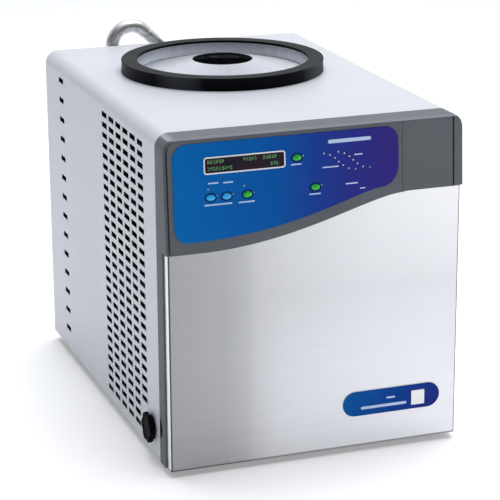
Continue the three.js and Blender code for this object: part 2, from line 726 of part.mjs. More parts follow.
function addCabinet() {
  add('cabinet_cover', cabinetCover(), WHITE_PAINT);
  add('base_pan', basePan(), GALVANISED);
  add('rear_panel', rearPanel(), WHITE_PAINT);
  const back = COVER_DEPTH - FOOT_INSET;
  const places = {
    foot_front_left: [-HALF + FOOT_INSET, FOOT_INSET],
    foot_front_right: [HALF - FOOT_INSET, FOOT_INSET],
    foot_rear_left: [-HALF + FOOT_INSET, back],
    foot_rear_right: [HALF - FOOT_INSET, back],
  };
  for (const [name, [x, y]] of Object.entries(places)) {
    add(name, foot(), BLACK_RUBBER).position.set(x, y, 0);
  }
}

// ---------------------------------------------------------------- front frame and controls

// Draws the fascia's lower edge on a shape, from its left end to its right end.
function swoosh(shape, left, right, drop, height) {
  const low = height(SWOOSH_LEFT_Z) + drop;
  const high = height(SWOOSH_RIGHT_Z) + drop;
  shape.lineTo(left, low);
  if (left < SWOOSH_START_X) shape.lineTo(SWOOSH_START_X, low);
  shape.bezierCurveTo(SWOOSH_START_X + SWOOSH_PULL_LEFT, low,
    SWOOSH_END_X - SWOOSH_PULL_RIGHT, high, SWOOSH_END_X, high);
  shape.lineTo(right, high);
}

function hoodOutline(wall) {
  const half = HALF - wall;
  const top = HOOD_TOP_Z - wall;
  const corner = COVER_CORNER - wall;
  const shape = new THREE.Shape();
  shape.moveTo(half, top - corner);
  shape.absarc(half - corner, top - corner, corner, 0, Math.PI / 2, false);
  shape.lineTo(-half + corner, top);
  shape.absarc(-half + corner, top - corner, corner, Math.PI / 2, Math.PI, false);
  swoosh(shape, -half, half, wall, (z) => z);
  return shape;
}

// The part of the front inside the grooves, open below, grown outwards by the given margin.
function fasciaOutline(margin, drop, height = (z) => z, above = margin) {
  const left = FASCIA_LEFT - margin;
  const right = FASCIA_RIGHT + margin;
  const top = height(COVER_TOP - FASCIA_TOP_GAP) + above;
  const corner = Math.max(COVER_CORNER - FASCIA_TOP_GAP + margin, 1);
  const shape = new THREE.Shape();
  shape.moveTo(right, top);
  shape.lineTo(left + corner, top);
  shape.absarc(left + corner, top - corner, corner, Math.PI / 2, Math.PI, false);
  swoosh(shape, left, right, drop, height);
  return shape;
}

// The hood is drawn upright, then leant so that its face stands out further towards the bottom.
function leanHood(geometry) {
  const lean = new THREE.Matrix4().set(
    1, 0, 0, 0,
    0, 1, HOOD_LEAN, -HOOD_LEAN * FACE_TOP,
    0, 0, 1, 0,
    0, 0, 0, 1,
  );
  return geometry.applyMatrix4(lean);
}

function roundedFront(shape, y0, y1) {
  const settings = {
    depth: y1 - y0 - HOOD_EDGE,
    curveSegments: CURVE,
    bevelThickness: HOOD_EDGE,
    bevelSize: HOOD_EDGE,
    bevelOffset: -HOOD_EDGE,
    bevelSegments: 1,
  };
  return new THREE.ExtrudeGeometry(shape, settings).rotateX(Math.PI / 2).translate(0, y1, 0);
}

function hood() {
  const front = -HOOD_DEPTH;
  const floor = front + POCKET_DEPTH;
  const body = roundedFront(hoodOutline(0), front, -HOOD_BACK);
  const pocket = alongY(fasciaOutline(GROOVE, -2 * CUT, (z) => z, GROOVE_ABOVE), front - CUT,
    floor, CURVE);
  const window = alongY(fasciaOutline(-LEDGE_REACH, LEDGE_REACH), floor - CUT,
    floor + LEDGE + CUT, CURVE);
  const cavity = alongY(hoodOutline(FRAME_WALL), floor + LEDGE, 0, CURVE);
  return leanHood(cut(body, pocket, window, cavity));
}

function frontFrame() {
  const outer = coverOutline(HALF, COVER_TOP, FRAME_BOTTOM, COVER_CORNER);
  const inner = coverOutline(HALF - FRAME_WALL, COVER_TOP - FRAME_WALL,
    FRAME_BOTTOM + FRAME_WALL, COVER_CORNER - FRAME_WALL);
  const surround = cut(alongY(outer, -FRAME_DEPTH, 0),
    alongY(inner, -FRAME_DEPTH - CUT, CUT));
  const notch = rodX(FINGER_NOTCH_RADIUS, -HALF - CUT, -HALF + FRAME_WALL + CUT, 28)
    .translate(0, FINGER_NOTCH_Y, FINGER_NOTCH_Z);
  return cut(join(surround, hood()), notch);
}

function buttonOval(x, z, gap) {
  const points = [];
  for (let i = 0; i < FEW_ROUND; i++) {
    const angle = (i / FEW_ROUND) * Math.PI * 2;
    points.push(new THREE.Vector2(x + (BUTTON_WIDTH / 2 + gap) * Math.cos(angle),
      z + (BUTTON_HEIGHT / 2 + gap) * Math.sin(angle)));
  }
  return new THREE.Shape(points);
}

const buttonPlaces = BUTTONS.map(({ inward, down }) => (
  [OVERLAY_LEFT + inward, onFace(COVER_TOP - down)]
));
const buttonHoles = (gap) => buttonPlaces.map(([x, z]) => buttonOval(x, z, gap));

function displayOutline(margin) {
  const z = onFace(DISPLAY_Z);
  const halfWide = DISPLAY_WIDTH / 2 + margin;
  const halfHigh = DISPLAY_HEIGHT / 2 + margin;
  return trimmedRectangle(DISPLAY_X, z, halfWide, halfHigh, DISPLAY_CORNER);
}

function postPlaces() {
  const xs = [BOARD_LEFT + POST_INSET, BOARD_RIGHT - POST_INSET];
  const zs = [onFace(BOARD_BOTTOM) + POST_INSET, onFace(BOARD_TOP) - POST_INSET];
  return xs.flatMap((x) => zs.map((z) => [x, z]));
}

function controlFascia() {
  const plate = fasciaOutline(0, 0, onFace);
  plate.holes.push(displayOutline(-DISPLAY_RIM + CLEAR), ...buttonHoles(CLEAR));
  const back = FASCIA_BACK;
  const posts = postPlaces().map(([x, z]) => (
    block([x - POST_HALF, back - CUT, z - POST_HALF], [x + POST_HALF, BOARD_GAP - CLEAR, z + POST_HALF])
  ));
  return join(alongY(plate, FASCIA_SEAM, back, CURVE), ...posts);
}

function controlOverlay() {
  const left = OVERLAY_LEFT;
  const right = OVERLAY_RIGHT;
  const top = onFace(FACE_TOP - OVERLAY_TOP_GAP);
  const low = onFace(SWOOSH_LEFT_Z) + OVERLAY_MARGIN;
  const high = onFace(SWOOSH_RIGHT_Z) + OVERLAY_MARGIN;
  const corner = OVERLAY_CORNER;
  const rise = SWOOSH_END_X - right;
  const shape = new THREE.Shape();
  shape.moveTo(right - corner, top);
  shape.lineTo(left + corner, top);
  shape.absarc(left + corner, top - corner, corner, Math.PI / 2, Math.PI, false);
  shape.lineTo(left, low + corner);
  shape.absarc(left + corner, low + corner, corner, Math.PI, Math.PI * 1.5, false);
  shape.bezierCurveTo(SWOOSH_START_X + SWOOSH_PULL_LEFT, low,
    SWOOSH_END_X - SWOOSH_PULL_RIGHT - rise, high - rise * OVERLAY_TAIL_PULL,
    right - corner, high - rise * OVERLAY_TAIL_END);
  shape.quadraticCurveTo(right, high, right, high + corner);
  shape.lineTo(right, top - corner);
  shape.absarc(right - corner, top - corner, corner, 0, Math.PI / 2, false);
  shape.holes.push(displayOutline(-DISPLAY_RIM + CLEAR), ...buttonHoles(CLEAR));
  return alongY(shape, -OVERLAY_THICK + CLEAR / 2, CLEAR / 2, CURVE);
}

function displayBezel() {
  const shape = displayOutline(0);
  shape.holes.push(displayOutline(-DISPLAY_RIM));
  const back = -OVERLAY_THICK;
  return alongY(shape, back - OVERLAY_THICK, back);
}

// One turned profile squashed to an oval: a domed cap, and a flange that keeps it behind the face.
function pushButton() {
  const radius = BUTTON_WIDTH / 2;
  const flangeFront = -(FASCIA_BACK + CLEAR);
  const flangeBack = flangeFront - BUTTON_FLANGE;
  const reach = radius + BUTTON_FLANGE_REACH;
  const profile = [[0, flangeBack], [reach, flangeBack], [reach, flangeFront],
    [radius, flangeFront], [radius, BUTTON_PROUD - BUTTON_DOME],
    [radius * BUTTON_CROWN, BUTTON_PROUD], [0, BUTTON_PROUD]];
  return turned(profile, FEW_ROUND).rotateX(Math.PI / 2)
    .scale(1, 1, BUTTON_HEIGHT / BUTTON_WIDTH);
}

function controlBoard() {
  const z0 = onFace(BOARD_BOTTOM);
  const z1 = onFace(BOARD_TOP);
  const switchFront = FASCIA_BACK + CLEAR + BUTTON_FLANGE + BUTTON_TRAVEL + CLEAR;
  const board = alongY(rectangle(BOARD_LEFT, BOARD_RIGHT, z0, z1), BOARD_GAP,
    BOARD_GAP + BOARD_THICK);
  const switches = buttonPlaces.map(([x, z]) => block(
    [x - SWITCH_SIZE / 2, switchFront, z - SWITCH_SIZE / 2],
    [x + SWITCH_SIZE / 2, BOARD_GAP + CUT, z + SWITCH_SIZE / 2],
  ));
  return join(board, ...switches);
}

function displayModule() {
  const back = FASCIA_BACK;
  return alongY(displayOutline(MODULE_MARGIN), back + CLEAR, back + CLEAR + MODULE_DEPTH);
}

function addControls() {
  add('front_frame', frontFrame(), GREY_PLASTIC);
  add('control_fascia', controlFascia(), GREY_PLASTIC, face);
  add('control_overlay', controlOverlay(), BLUE_FILM, face);
  add('display_bezel', displayBezel(), PALE_PLASTIC, face);
  add('display_screen', alongY(displayOutline(-DISPLAY_RIM), -OVERLAY_THICK / 2, FASCIA_BACK),
    DARK_GLASS, face);
  add('display_module', displayModule(), BLACK_PLASTIC, face);
  add('control_board', controlBoard(), GREEN_BOARD, face);
  BUTTONS.forEach(({ name, colour }, i) => {
    const [x, z] = buttonPlaces[i];
    add(name, pushButton(), finish(colour, 0.35, 0), face).position.set(x, 0, z);
  });
}

// ---------------------------------------------------------------- stainless front panel

function channelOutline() {
  const half = HALF - PANEL_INSET;
  const front = -PANEL_STANDOUT;
  const back = -FRAME_DEPTH - CLEAR;
  const inner = half - PANEL_SHEET;
  const bend = PANEL_BEND;
  const innerBend = bend - PANEL_SHEET;
  const shape = new THREE.Shape();
  shape.moveTo(half, back);
  shape.lineTo(inner, back);
  shape.lineTo(inner, front + bend);
  shape.absarc(half - bend, front + bend, innerBend, 0, -Math.PI / 2, true);
  shape.lineTo(-half + bend, front + PANEL_SHEET);
  shape.absarc(-half + bend, front + bend, innerBend, -Math.PI / 2, -Math.PI, true);
  shape.lineTo(-inner, back);
  shape.lineTo(-half, back);
  shape.lineTo(-half, front + bend);
  shape.absarc(-half + bend, front + bend, bend, Math.PI, Math.PI * 1.5, false);
  shape.lineTo(half - bend, front);
  shape.absarc(half - bend, front + bend, bend, -Math.PI / 2, 0, false);
  return shape;
}

function frontPanel() {
  const top = SWOOSH_RIGHT_Z + CUT;
  const sheet = alongZ(channelOutline(), PANEL_BOTTOM, top, 4);
  const above = new THREE.Shape();
  above.moveTo(WIDTH, COVER_TOP);
  above.lineTo(-WIDTH, COVER_TOP);
  swoosh(above, -WIDTH, WIDTH, -CLEAR, (z) => z);
  const trimmed = cut(sheet, alongY(above, -2 * PANEL_STANDOUT, 0, CURVE));
  const half = HALF - PANEL_INSET - PANEL_BEND;
  const lip = block([-half, -PANEL_STANDOUT + PANEL_SHEET / 2, PANEL_BOTTOM],
    [half, -FRAME_DEPTH - CLEAR, PANEL_BOTTOM + PANEL_SHEET]);
  return join(trimmed, lip);
}

function addFrontPanel() {
  add('front_panel', frontPanel(), STAINLESS);
  const front = -PANEL_STANDOUT;
  const pill = rectangle(BADGE_LEFT, BADGE_RIGHT, BADGE_Z - BADGE_HEIGHT / 2,
    BADGE_Z + BADGE_HEIGHT / 2, BADGE_HEIGHT / 2);
  add('badge_plate', alongY(pill, front - BADGE_THICK, front), NAVY_PLASTIC);
  const tile = rectangle(TILE_X - TILE_WIDTH / 2, TILE_X + TILE_WIDTH / 2,
    TILE_Z - TILE_HEIGHT / 2, TILE_Z + TILE_HEIGHT / 2);
  add('badge_tile', alongY(tile, front - BADGE_THICK - TILE_THICK, front - BADGE_THICK),
    PALE_PLASTIC);
}

// ---------------------------------------------------------------- collector

function chamber() {
  const inner = CHAMBER_RADIUS;
  const outer = inner + CHAMBER_WALL;
  const floor = CHAMBER_BOTTOM + CHAMBER_WALL;
  const seat = GASKET_TOP - BAFFLE_DROP - BAFFLE_SHEET - CLEAR;
  const collarUnder = COLLAR_TOP - CHAMBER_WALL;
  const profile = [
    [DRAIN_TUBE, CHAMBER_BOTTOM], [outer, CHAMBER_BOTTOM], [outer, collarUnder],
    [COLLAR_RADIUS - CHAMBER_WALL, collarUnder], [COLLAR_RADIUS - CHAMBER_WALL, COVER_TOP],
    [COLLAR_RADIUS, COVER_TOP], [COLLAR_RADIUS, COLLAR_TOP], [inner, COLLAR_TOP],
    [inner, seat], [inner - BAFFLE_SEAT, seat], [inner, seat - 2 * BAFFLE_SEAT],
    [inner, floor], [DRAIN_TUBE, floor],
  ];
  const port = rodY(clearing(PORT_RADIUS), 0, outer + CUT, FEW_ROUND).translate(PORT_X, 0, PORT_Z);
  return cut(ring(profile, ROUND), port);
}

function gasket() {
  const hugs = COLLAR_RADIUS + CLEAR;
  const waistZ = COVER_TOP + GASKET_WAIST_HEIGHT;
  return ring([
    [hugs, COVER_TOP], [GASKET_RADIUS, COVER_TOP], [GASKET_RADIUS - GASKET_WAIST, waistZ],
    [GASKET_RADIUS, GASKET_TOP - GASKET_EDGE], [GASKET_RADIUS - GASKET_EDGE, GASKET_TOP],
    [CHAMBER_RADIUS, GASKET_TOP], [CHAMBER_RADIUS, COLLAR_TOP], [hugs, COLLAR_TOP],
  ], ROUND);
}

function baffle() {
  const rim = CHAMBER_RADIUS - 2 * CLEAR;
  const rimZ = GASKET_TOP - BAFFLE_DROP;
  const holeZ = GASKET_TOP - BAFFLE_HOLE_DROP;
  const lipZ = holeZ - BAFFLE_LIP;
  return ring([
    [BAFFLE_HOLE, lipZ], [BAFFLE_HOLE + BAFFLE_SHEET, lipZ],
    [BAFFLE_HOLE + BAFFLE_SHEET, holeZ - BAFFLE_SHEET], [rim, rimZ - BAFFLE_SHEET],
    [rim, rimZ], [BAFFLE_HOLE, holeZ],
  ], ROUND);
}

function foamJacket() {
  const facets = FOAM_FACETS;
  const inner = FOAM_INNER / Math.cos(Math.PI / facets);
  const outer = inner + FOAM_WALL;
  const bottom = CHAMBER_BOTTOM - FOAM_FLOOR;
  const under = COVER_TOP - SHEET - CLEAR;
  const profile = [
    [DRAIN_TUBE + CLEAR, bottom], [outer, bottom], [outer, under], [inner, under],
    [inner, CHAMBER_BOTTOM - CLEAR], [DRAIN_TUBE + CLEAR, CHAMBER_BOTTOM - CLEAR],
  ];
  const port = rodY(clearing(PORT_RADIUS), 0, outer + CUT, FEW_ROUND).translate(PORT_X, 0, PORT_Z);
  const lines = [-1, 1].map((side) => (
    rod(clearing(LINE_TUBE), bottom - CUT, CHAMBER_BOTTOM, FEW_ROUND)
      .translate(side * LINE_ENTRY_X, LINE_ENTRY_Y - COLLECTOR_Y, 0)
  ));
  return cut(ring(profile, facets), port, lines);
}

function addCollector() {
  const collector = new THREE.Group();
  collector.position.y = COLLECTOR_Y;
  dryer.add(collector);
  add('collector_chamber', chamber(), STAINLESS, collector);
  add('chamber_gasket', gasket(), BLACK_RUBBER, collector);
  add('collector_baffle', baffle(), STAINLESS, collector);
  add('chamber_insulation', foamJacket(), FOAM, collector);
  const coilRadius = CHAMBER_RADIUS - COIL_TUBE - 2 * CLEAR;
  const helix = new Helix(coilRadius, COIL_TURNS, COIL_PITCH, CHAMBER_BOTTOM + COIL_BOTTOM);
  add('collector_coil', sweep(helix, COIL_TURNS * COIL_STEPS, COIL_TUBE, 5), STAINLESS, collector);
}

// ---------------------------------------------------------------- drain

function drainValve() {
  const wall = -HALF + SHEET;
  const body = rodX(VALVE_RADIUS, wall + CLEAR, VALVE_X + VALVE_RADIUS, FEW_ROUND);
  const neck = rodX(NECK_RADIUS, -HALF - CLEAR, wall + 2 * CLEAR, FEW_ROUND);
  const stem = rodX(STEM_RADIUS, -HALF - KNOB_BASE - KNOB_THICK / 2, -HALF, FEW_ROUND);
  const inlet = rod(DRAIN_TUBE + 1, 0, VALVE_SPIGOT, FEW_ROUND).translate(VALVE_X, 0, 0);
  const outlet = rod(DRAIN_TUBE, OUTLET_END - DRAIN_Z, 0, FEW_ROUND).translate(VALVE_X, 0, 0);
  return join(body, neck, stem, inlet, outlet).translate(0, DRAIN_Y, DRAIN_Z);
}

function lobedOutline() {
  const points = [];
  const steps = KNOB_LOBES * LOBE_STEPS;
  for (let i = 0; i < steps; i++) {
    const angle = (i / steps) * Math.PI * 2;
    const scallop = Math.abs(Math.sin((angle * KNOB_LOBES) / 2)) ** 4;
    const r = KNOB_RADIUS - KNOB_LOBE_DEPTH * scallop;
    points.push(new THREE.Vector2(Math.cos(angle) * r, Math.sin(angle) * r));
  }
  return new THREE.Shape(points);
}

function drainKnob() {
  const inner = -HALF - 2 * CLEAR;
  const shoulder = inner - KNOB_BASE;
  const outer = shoulder - KNOB_THICK;
  const bore = rodX(clearing(STEM_RADIUS + CLEAR), shoulder - KNOB_THICK / 2, inner + CUT, FEW_ROUND);
  const base = rodX(KNOB_BASE_RADIUS, shoulder - CUT, inner, ROUND);
  return cut(join(base, alongX(lobedOutline(), outer, shoulder)), bore);
}

function addDrain() {
  add('drain_valve', drainValve(), BRASS);
  add('drain_knob', drainKnob(), BLACK_PLASTIC).position.set(0, DRAIN_Y, DRAIN_Z);
  const under = CHAMBER_BOTTOM - FOAM_FLOOR - 2 * DRAIN_TUBE;
  const inletTop = DRAIN_Z + VALVE_SPIGOT + CLEAR;
  const route = [
    [0, COLLECTOR_Y, CHAMBER_BOTTOM - CLEAR], [0, COLLECTOR_Y, under],
    [0, DRAIN_Y, under], [VALVE_X, DRAIN_Y, under], [VALVE_X, DRAIN_Y, inletTop],
  ];
  add('drain_tube', tube(route, DRAIN_TUBE - CLEAR, 2 * DRAIN_TUBE), PALE_PLASTIC);
}

// ---------------------------------------------------------------- vacuum line

const SLOPE = THREE.MathUtils.degToRad(GOOSENECK_SLOPE);
const downSlope = (from, length) => [
  from[0] + Math.cos(SLOPE) * length, GOOSENECK_Y, from[2] - Math.sin(SLOPE) * length,
];
const ARC_X = GOOSENECK_LEG_X + GOOSENECK_BEND;
const ARC_END = [
  ARC_X + Math.sin(SLOPE) * GOOSENECK_BEND, GOOSENECK_Y,
  GOOSENECK_ARC_Z + Math.cos(SLOPE) * GOOSENECK_BEND,
];
const PORT_Z = downSlope(ARC_END, (PORT_X - ARC_END[0]) / Math.cos(SLOPE))[2];
// Where the leg and the slope would meet if they weren't rounded.
const ARC_CORNER_RISE = GOOSENECK_BEND * Math.tan((Math.PI / 2 + SLOPE) / 2);

// Drawn downwards from z = 0: a flange under the gooseneck's leg and a nipple for the pump's hose.
function pumpConnection() {
  const flange = -PUMP_FLANGE;
  const end = flange - PUMP_NIPPLE;
  const bore = NIPPLE_RADIUS - NIPPLE_WALL;
  return turned([
    [0, flange], [bore, flange], [bore, end], [NIPPLE_RADIUS - NIPPLE_EDGE, end],
    [NIPPLE_RADIUS, end + 2 * NIPPLE_EDGE], [NIPPLE_RADIUS, flange - NIPPLE_FLARE],
    [PUMP_FLANGE_RADIUS, flange], [PUMP_FLANGE_RADIUS, 0], [0, 0],
  ], FEW_ROUND);
}

function gooseneckClip() {
  const back = REAR_PANEL_Y + SHEET + CLEAR;
  const half = GOOSENECK_RADIUS + BRACKET_WALL;
  const clip = block([-half, back, -BRACKET_HEIGHT / 2],
    [half, GOOSENECK_Y + GOOSENECK_RADIUS, BRACKET_HEIGHT / 2]);
  const seat = rod(clearing(GOOSENECK_RADIUS + CLEAR), -BRACKET_HEIGHT, BRACKET_HEIGHT, FEW_ROUND)
    .translate(0, GOOSENECK_Y, 0);
  return cut(clip, seat);
}

function addVacuumLine() {
  const tail = downSlope(ARC_END, GOOSENECK_TAIL);
  const leg = [
    [GOOSENECK_LEG_X, GOOSENECK_Y, GOOSENECK_LEG_BOTTOM],
    [GOOSENECK_LEG_X, GOOSENECK_Y, GOOSENECK_ARC_Z + ARC_CORNER_RISE],
    tail,
  ];
  add('vacuum_gooseneck', tube(leg, GOOSENECK_RADIUS, GOOSENECK_BEND, FEW_ROUND, 8), GALVANISED);

  const sleeveStart = downSlope(tail, CLEAR);
  const sleeveEnd = downSlope(sleeveStart, SLEEVE_LENGTH);
  add('gooseneck_sleeve', tube([sleeveStart, sleeveEnd], SLEEVE_RADIUS, 0, FEW_ROUND), GALVANISED);

  const portStart = downSlope(sleeveEnd, CLEAR);
  const run = (PORT_X - portStart[0]) / Math.cos(SLOPE);
  const corner = downSlope(portStart, run);
  const chamberY = COLLECTOR_Y + CHAMBER_RADIUS;
  const portRoute = [portStart, corner, [PORT_X, chamberY, PORT_Z]];
  add('vacuum_port_tube', tube(portRoute, PORT_RADIUS - CLEAR, PORT_BEND, FEW_ROUND), STAINLESS);

  add('pump_connection', pumpConnection(), STAINLESS)
    .position.set(GOOSENECK_LEG_X, GOOSENECK_Y, GOOSENECK_LEG_BOTTOM - CLEAR);

  add('gooseneck_bracket', gooseneckClip(), GALVANISED)
    .position.set(GOOSENECK_LEG_X, 0, BRACKET_Z);

  const sensor = rod(SENSOR_RADIUS, PORT_RADIUS, PORT_RADIUS + SENSOR_HEIGHT)
    .translate(PORT_X, SENSOR_Y, PORT_Z);
  add('vacuum_sensor', sensor, BLACK_PLASTIC);
}

// ---------------------------------------------------------------- refrigeration

function compressorBody() {
  const plateX = MOUNT_SPAN_X / 2 + MOUNT_RADIUS;
  const plateY = MOUNT_SPAN_Y / 2 + MOUNT_RADIUS;
  const plate = block([-plateX, -plateY, 0], [plateX, plateY, COMPRESSOR_PLATE]);
  const r = COMPRESSOR_RADIUS;
  const top = COMPRESSOR_HEIGHT;
  const weld = top / 2;
  const end = r * COMPRESSOR_END;
  const can = turned([
    [0, COMPRESSOR_PLATE - CUT], [end, COMPRESSOR_PLATE - CUT], [r, COMPRESSOR_DOME],
    [r, weld], [r + WELD_REACH, weld],
    [r + WELD_REACH, weld + WELD_BAND], [r, weld + WELD_BAND],
    [r, top - COMPRESSOR_DOME], [end, top - COMPRESSOR_SHOULDER],
    [r * COMPRESSOR_CROWN, top], [0, top],
  ], SMALL_ROUND);
  const stubs = [STUB_HIGH, STUB_LOW].map((z) => (
    rodX(LINE_TUBE + LINE_SOCKET, -r - STUB_REACH, 0, STUB_FACETS).translate(0, 0, z)
  ));
  return join(plate, can, ...stubs);
}

// Fin pack: one block pierced by the air gaps between its fins.
function condenserCore() {
  const x0 = CORE_INNER_X - CORE_THICK;
  const pitch = (CORE_LENGTH - CORE_FIN) / (CORE_FINS - 1);
  const gaps = [];
  for (let i = 0; i < CORE_FINS - 1; i++) {
    const y = CORE_FRONT + CORE_FIN + i * pitch;
    gaps.push(block([x0 - CUT, y, SEAT_Z + CORE_RIM],
      [CORE_INNER_X + CUT, y + pitch - CORE_FIN, SEAT_Z + CORE_HEIGHT - CORE_RIM]));
  }
  return cut(block([x0, CORE_FRONT, SEAT_Z],
    [CORE_INNER_X, CORE_FRONT + CORE_LENGTH, SEAT_Z + CORE_HEIGHT]), gaps);
}

function serpentineRoute() {
  const front = CORE_FRONT + 4 * SERPENTINE_TUBE;
  const back = CORE_FRONT + CORE_LENGTH - 4 * SERPENTINE_TUBE;
  const exit = CORE_FRONT + CORE_LENGTH;
  const pitch = (CORE_HEIGHT - 2 * CORE_RIM) / SERPENTINE_RUNS;
  const height = (run) => SEAT_Z + CORE_HEIGHT - CORE_RIM - (run + 0.5) * pitch;
  const route = [[TUBE_X, exit, height(0)]];
  for (let run = 0; run < SERPENTINE_RUNS - 1; run++) {
    const y = run % 2 === 0 ? front : back;
    route.push([TUBE_X, y, height(run)], [TUBE_X, y, height(run + 1)]);
  }
  const lastEnd = SERPENTINE_RUNS % 2 === 1 ? exit : front;
  route.push([TUBE_X, lastEnd, height(SERPENTINE_RUNS - 1)]);
  return route;
}

function fanShroud() {
  const x0 = CORE_INNER_X + SHROUD_GAP;
  const shape = rectangle(CORE_FRONT, CORE_FRONT + CORE_LENGTH, SEAT_Z, SEAT_Z + CORE_HEIGHT);
  shape.holes.push(circle(CORE_MIDDLE_Y, CORE_MIDDLE_Z, FAN_RADIUS + FAN_TIP_GAP));
  return alongX(shape, x0, x0 + SHROUD_THICK, SHROUD_ROUND);
}

// A blade: a flat bar that widens and flattens out towards its tip.
function fanBlade() {
  const root = FAN_HUB - BLADE_ROOT;
  const blade = new THREE.BoxGeometry(FAN_BLADE_THICK, FAN_BLADE_CHORD, FAN_RADIUS - root, 1, 1, 2);
  blade.translate(0, 0, (FAN_RADIUS + root) / 2);
  const p = blade.attributes.position;
  const v = new THREE.Vector3();
  const radial = new THREE.Vector3(0, 0, 1);
  for (let i = 0; i < p.count; i++) {
    v.fromBufferAttribute(p, i);
    const share = (v.z - root) / (FAN_RADIUS - root);
    v.y *= THREE.MathUtils.lerp(BLADE_NARROW, 1, share);
    v.applyAxisAngle(radial, THREE.MathUtils.degToRad(BLADE_PITCH - BLADE_TWIST * share));
    p.setXYZ(i, v.x, v.y, v.z);
  }
  return blade;
}

function fan() {
  const hubLength = FAN_HUB_LENGTH;
  const hub = rodX(FAN_HUB, -hubLength / 2, hubLength / 2, 24);
  const blades = [];
  for (let i = 0; i < FAN_BLADES; i++) {
    blades.push(fanBlade().rotateX((i / FAN_BLADES) * Math.PI * 2));
  }
  const bore = rodX(clearing(FAN_SHAFT + CLEAR), 0, hubLength / 2 + CUT, FEW_ROUND);
  return cut(join(hub, ...blades), bore);
}

function fanStrap() {
  const y0 = CORE_MIDDLE_Y - FAN_RADIUS - 3 * STRAP_THICK;
  const y1 = CORE_MIDDLE_Y + FAN_RADIUS + 3 * STRAP_THICK;
  const foot0 = SHROUD_FACE + CLEAR;
  const z0 = CORE_MIDDLE_Z - STRAP_WIDTH / 2;
  const z1 = CORE_MIDDLE_Z + STRAP_WIDTH / 2;
  const bar = block([STRAP_X, y0, z0], [STRAP_X + STRAP_THICK, y1, z1]);
  const arms = [y0, y1 - STRAP_THICK].map((y) => (
    block([foot0, y, z0], [STRAP_X + STRAP_THICK, y + STRAP_THICK, z1])
  ));
  const hole = rodX(clearing(FAN_SHAFT + CLEAR), STRAP_X - CUT, STRAP_X + STRAP_THICK + CUT, FEW_ROUND)
    .translate(0, CORE_MIDDLE_Y, CORE_MIDDLE_Z);
  return cut(join(bar, ...arms), hole);
}

function addCondenser() {
  add('condenser_core', condenserCore(), ALUMINIUM);
  add('condenser_tube', tube(serpentineRoute(), SERPENTINE_TUBE, 2.5 * SERPENTINE_TUBE),
    COPPER);
  add('fan_shroud', fanShroud(), BLACK_PAINT);
  add('fan_bracket', fanStrap(), GALVANISED);
  add('fan', fan(), BLACK_PLASTIC)
    .position.set(HUB_BACK + FAN_HUB_LENGTH / 2, CORE_MIDDLE_Y, CORE_MIDDLE_Z);
  const bodyX = STRAP_X + STRAP_THICK + CLEAR;
  const motor = join(
    rodX(MOTOR_RADIUS, bodyX, bodyX + MOTOR_LENGTH, 24),
    rodX(FAN_SHAFT, HUB_FRONT - FAN_HUB_LENGTH / 2 + CLEAR, bodyX + CUT, FEW_ROUND),
  );
  add('fan_motor', motor, BLACK_PAINT).position.set(0, CORE_MIDDLE_Y, CORE_MIDDLE_Z);
}

function addCompressor() {
  const compressor = add('compressor', compressorBody(), BLACK_PAINT);
  compressor.position.set(COMPRESSOR_X, COMPRESSOR_Y, COMPRESSOR_BASE);
  const mounts = [
    ['compressor_mount_front_left', -1, -1], ['compressor_mount_front_right', 1, -1],
    ['compressor_mount_rear_left', -1, 1], ['compressor_mount_rear_right', 1, 1],
  ];
  for (const [name, sideX, sideY] of mounts) {
    const x = COMPRESSOR_X + (sideX * MOUNT_SPAN_X) / 2;
    const y = COMPRESSOR_Y + (sideY * MOUNT_SPAN_Y) / 2;
    add(name, rod(MOUNT_RADIUS, 0, MOUNT_HEIGHT, FEW_ROUND), BLACK_RUBBER).position.set(x, y, PAN_TOP);
  }
}

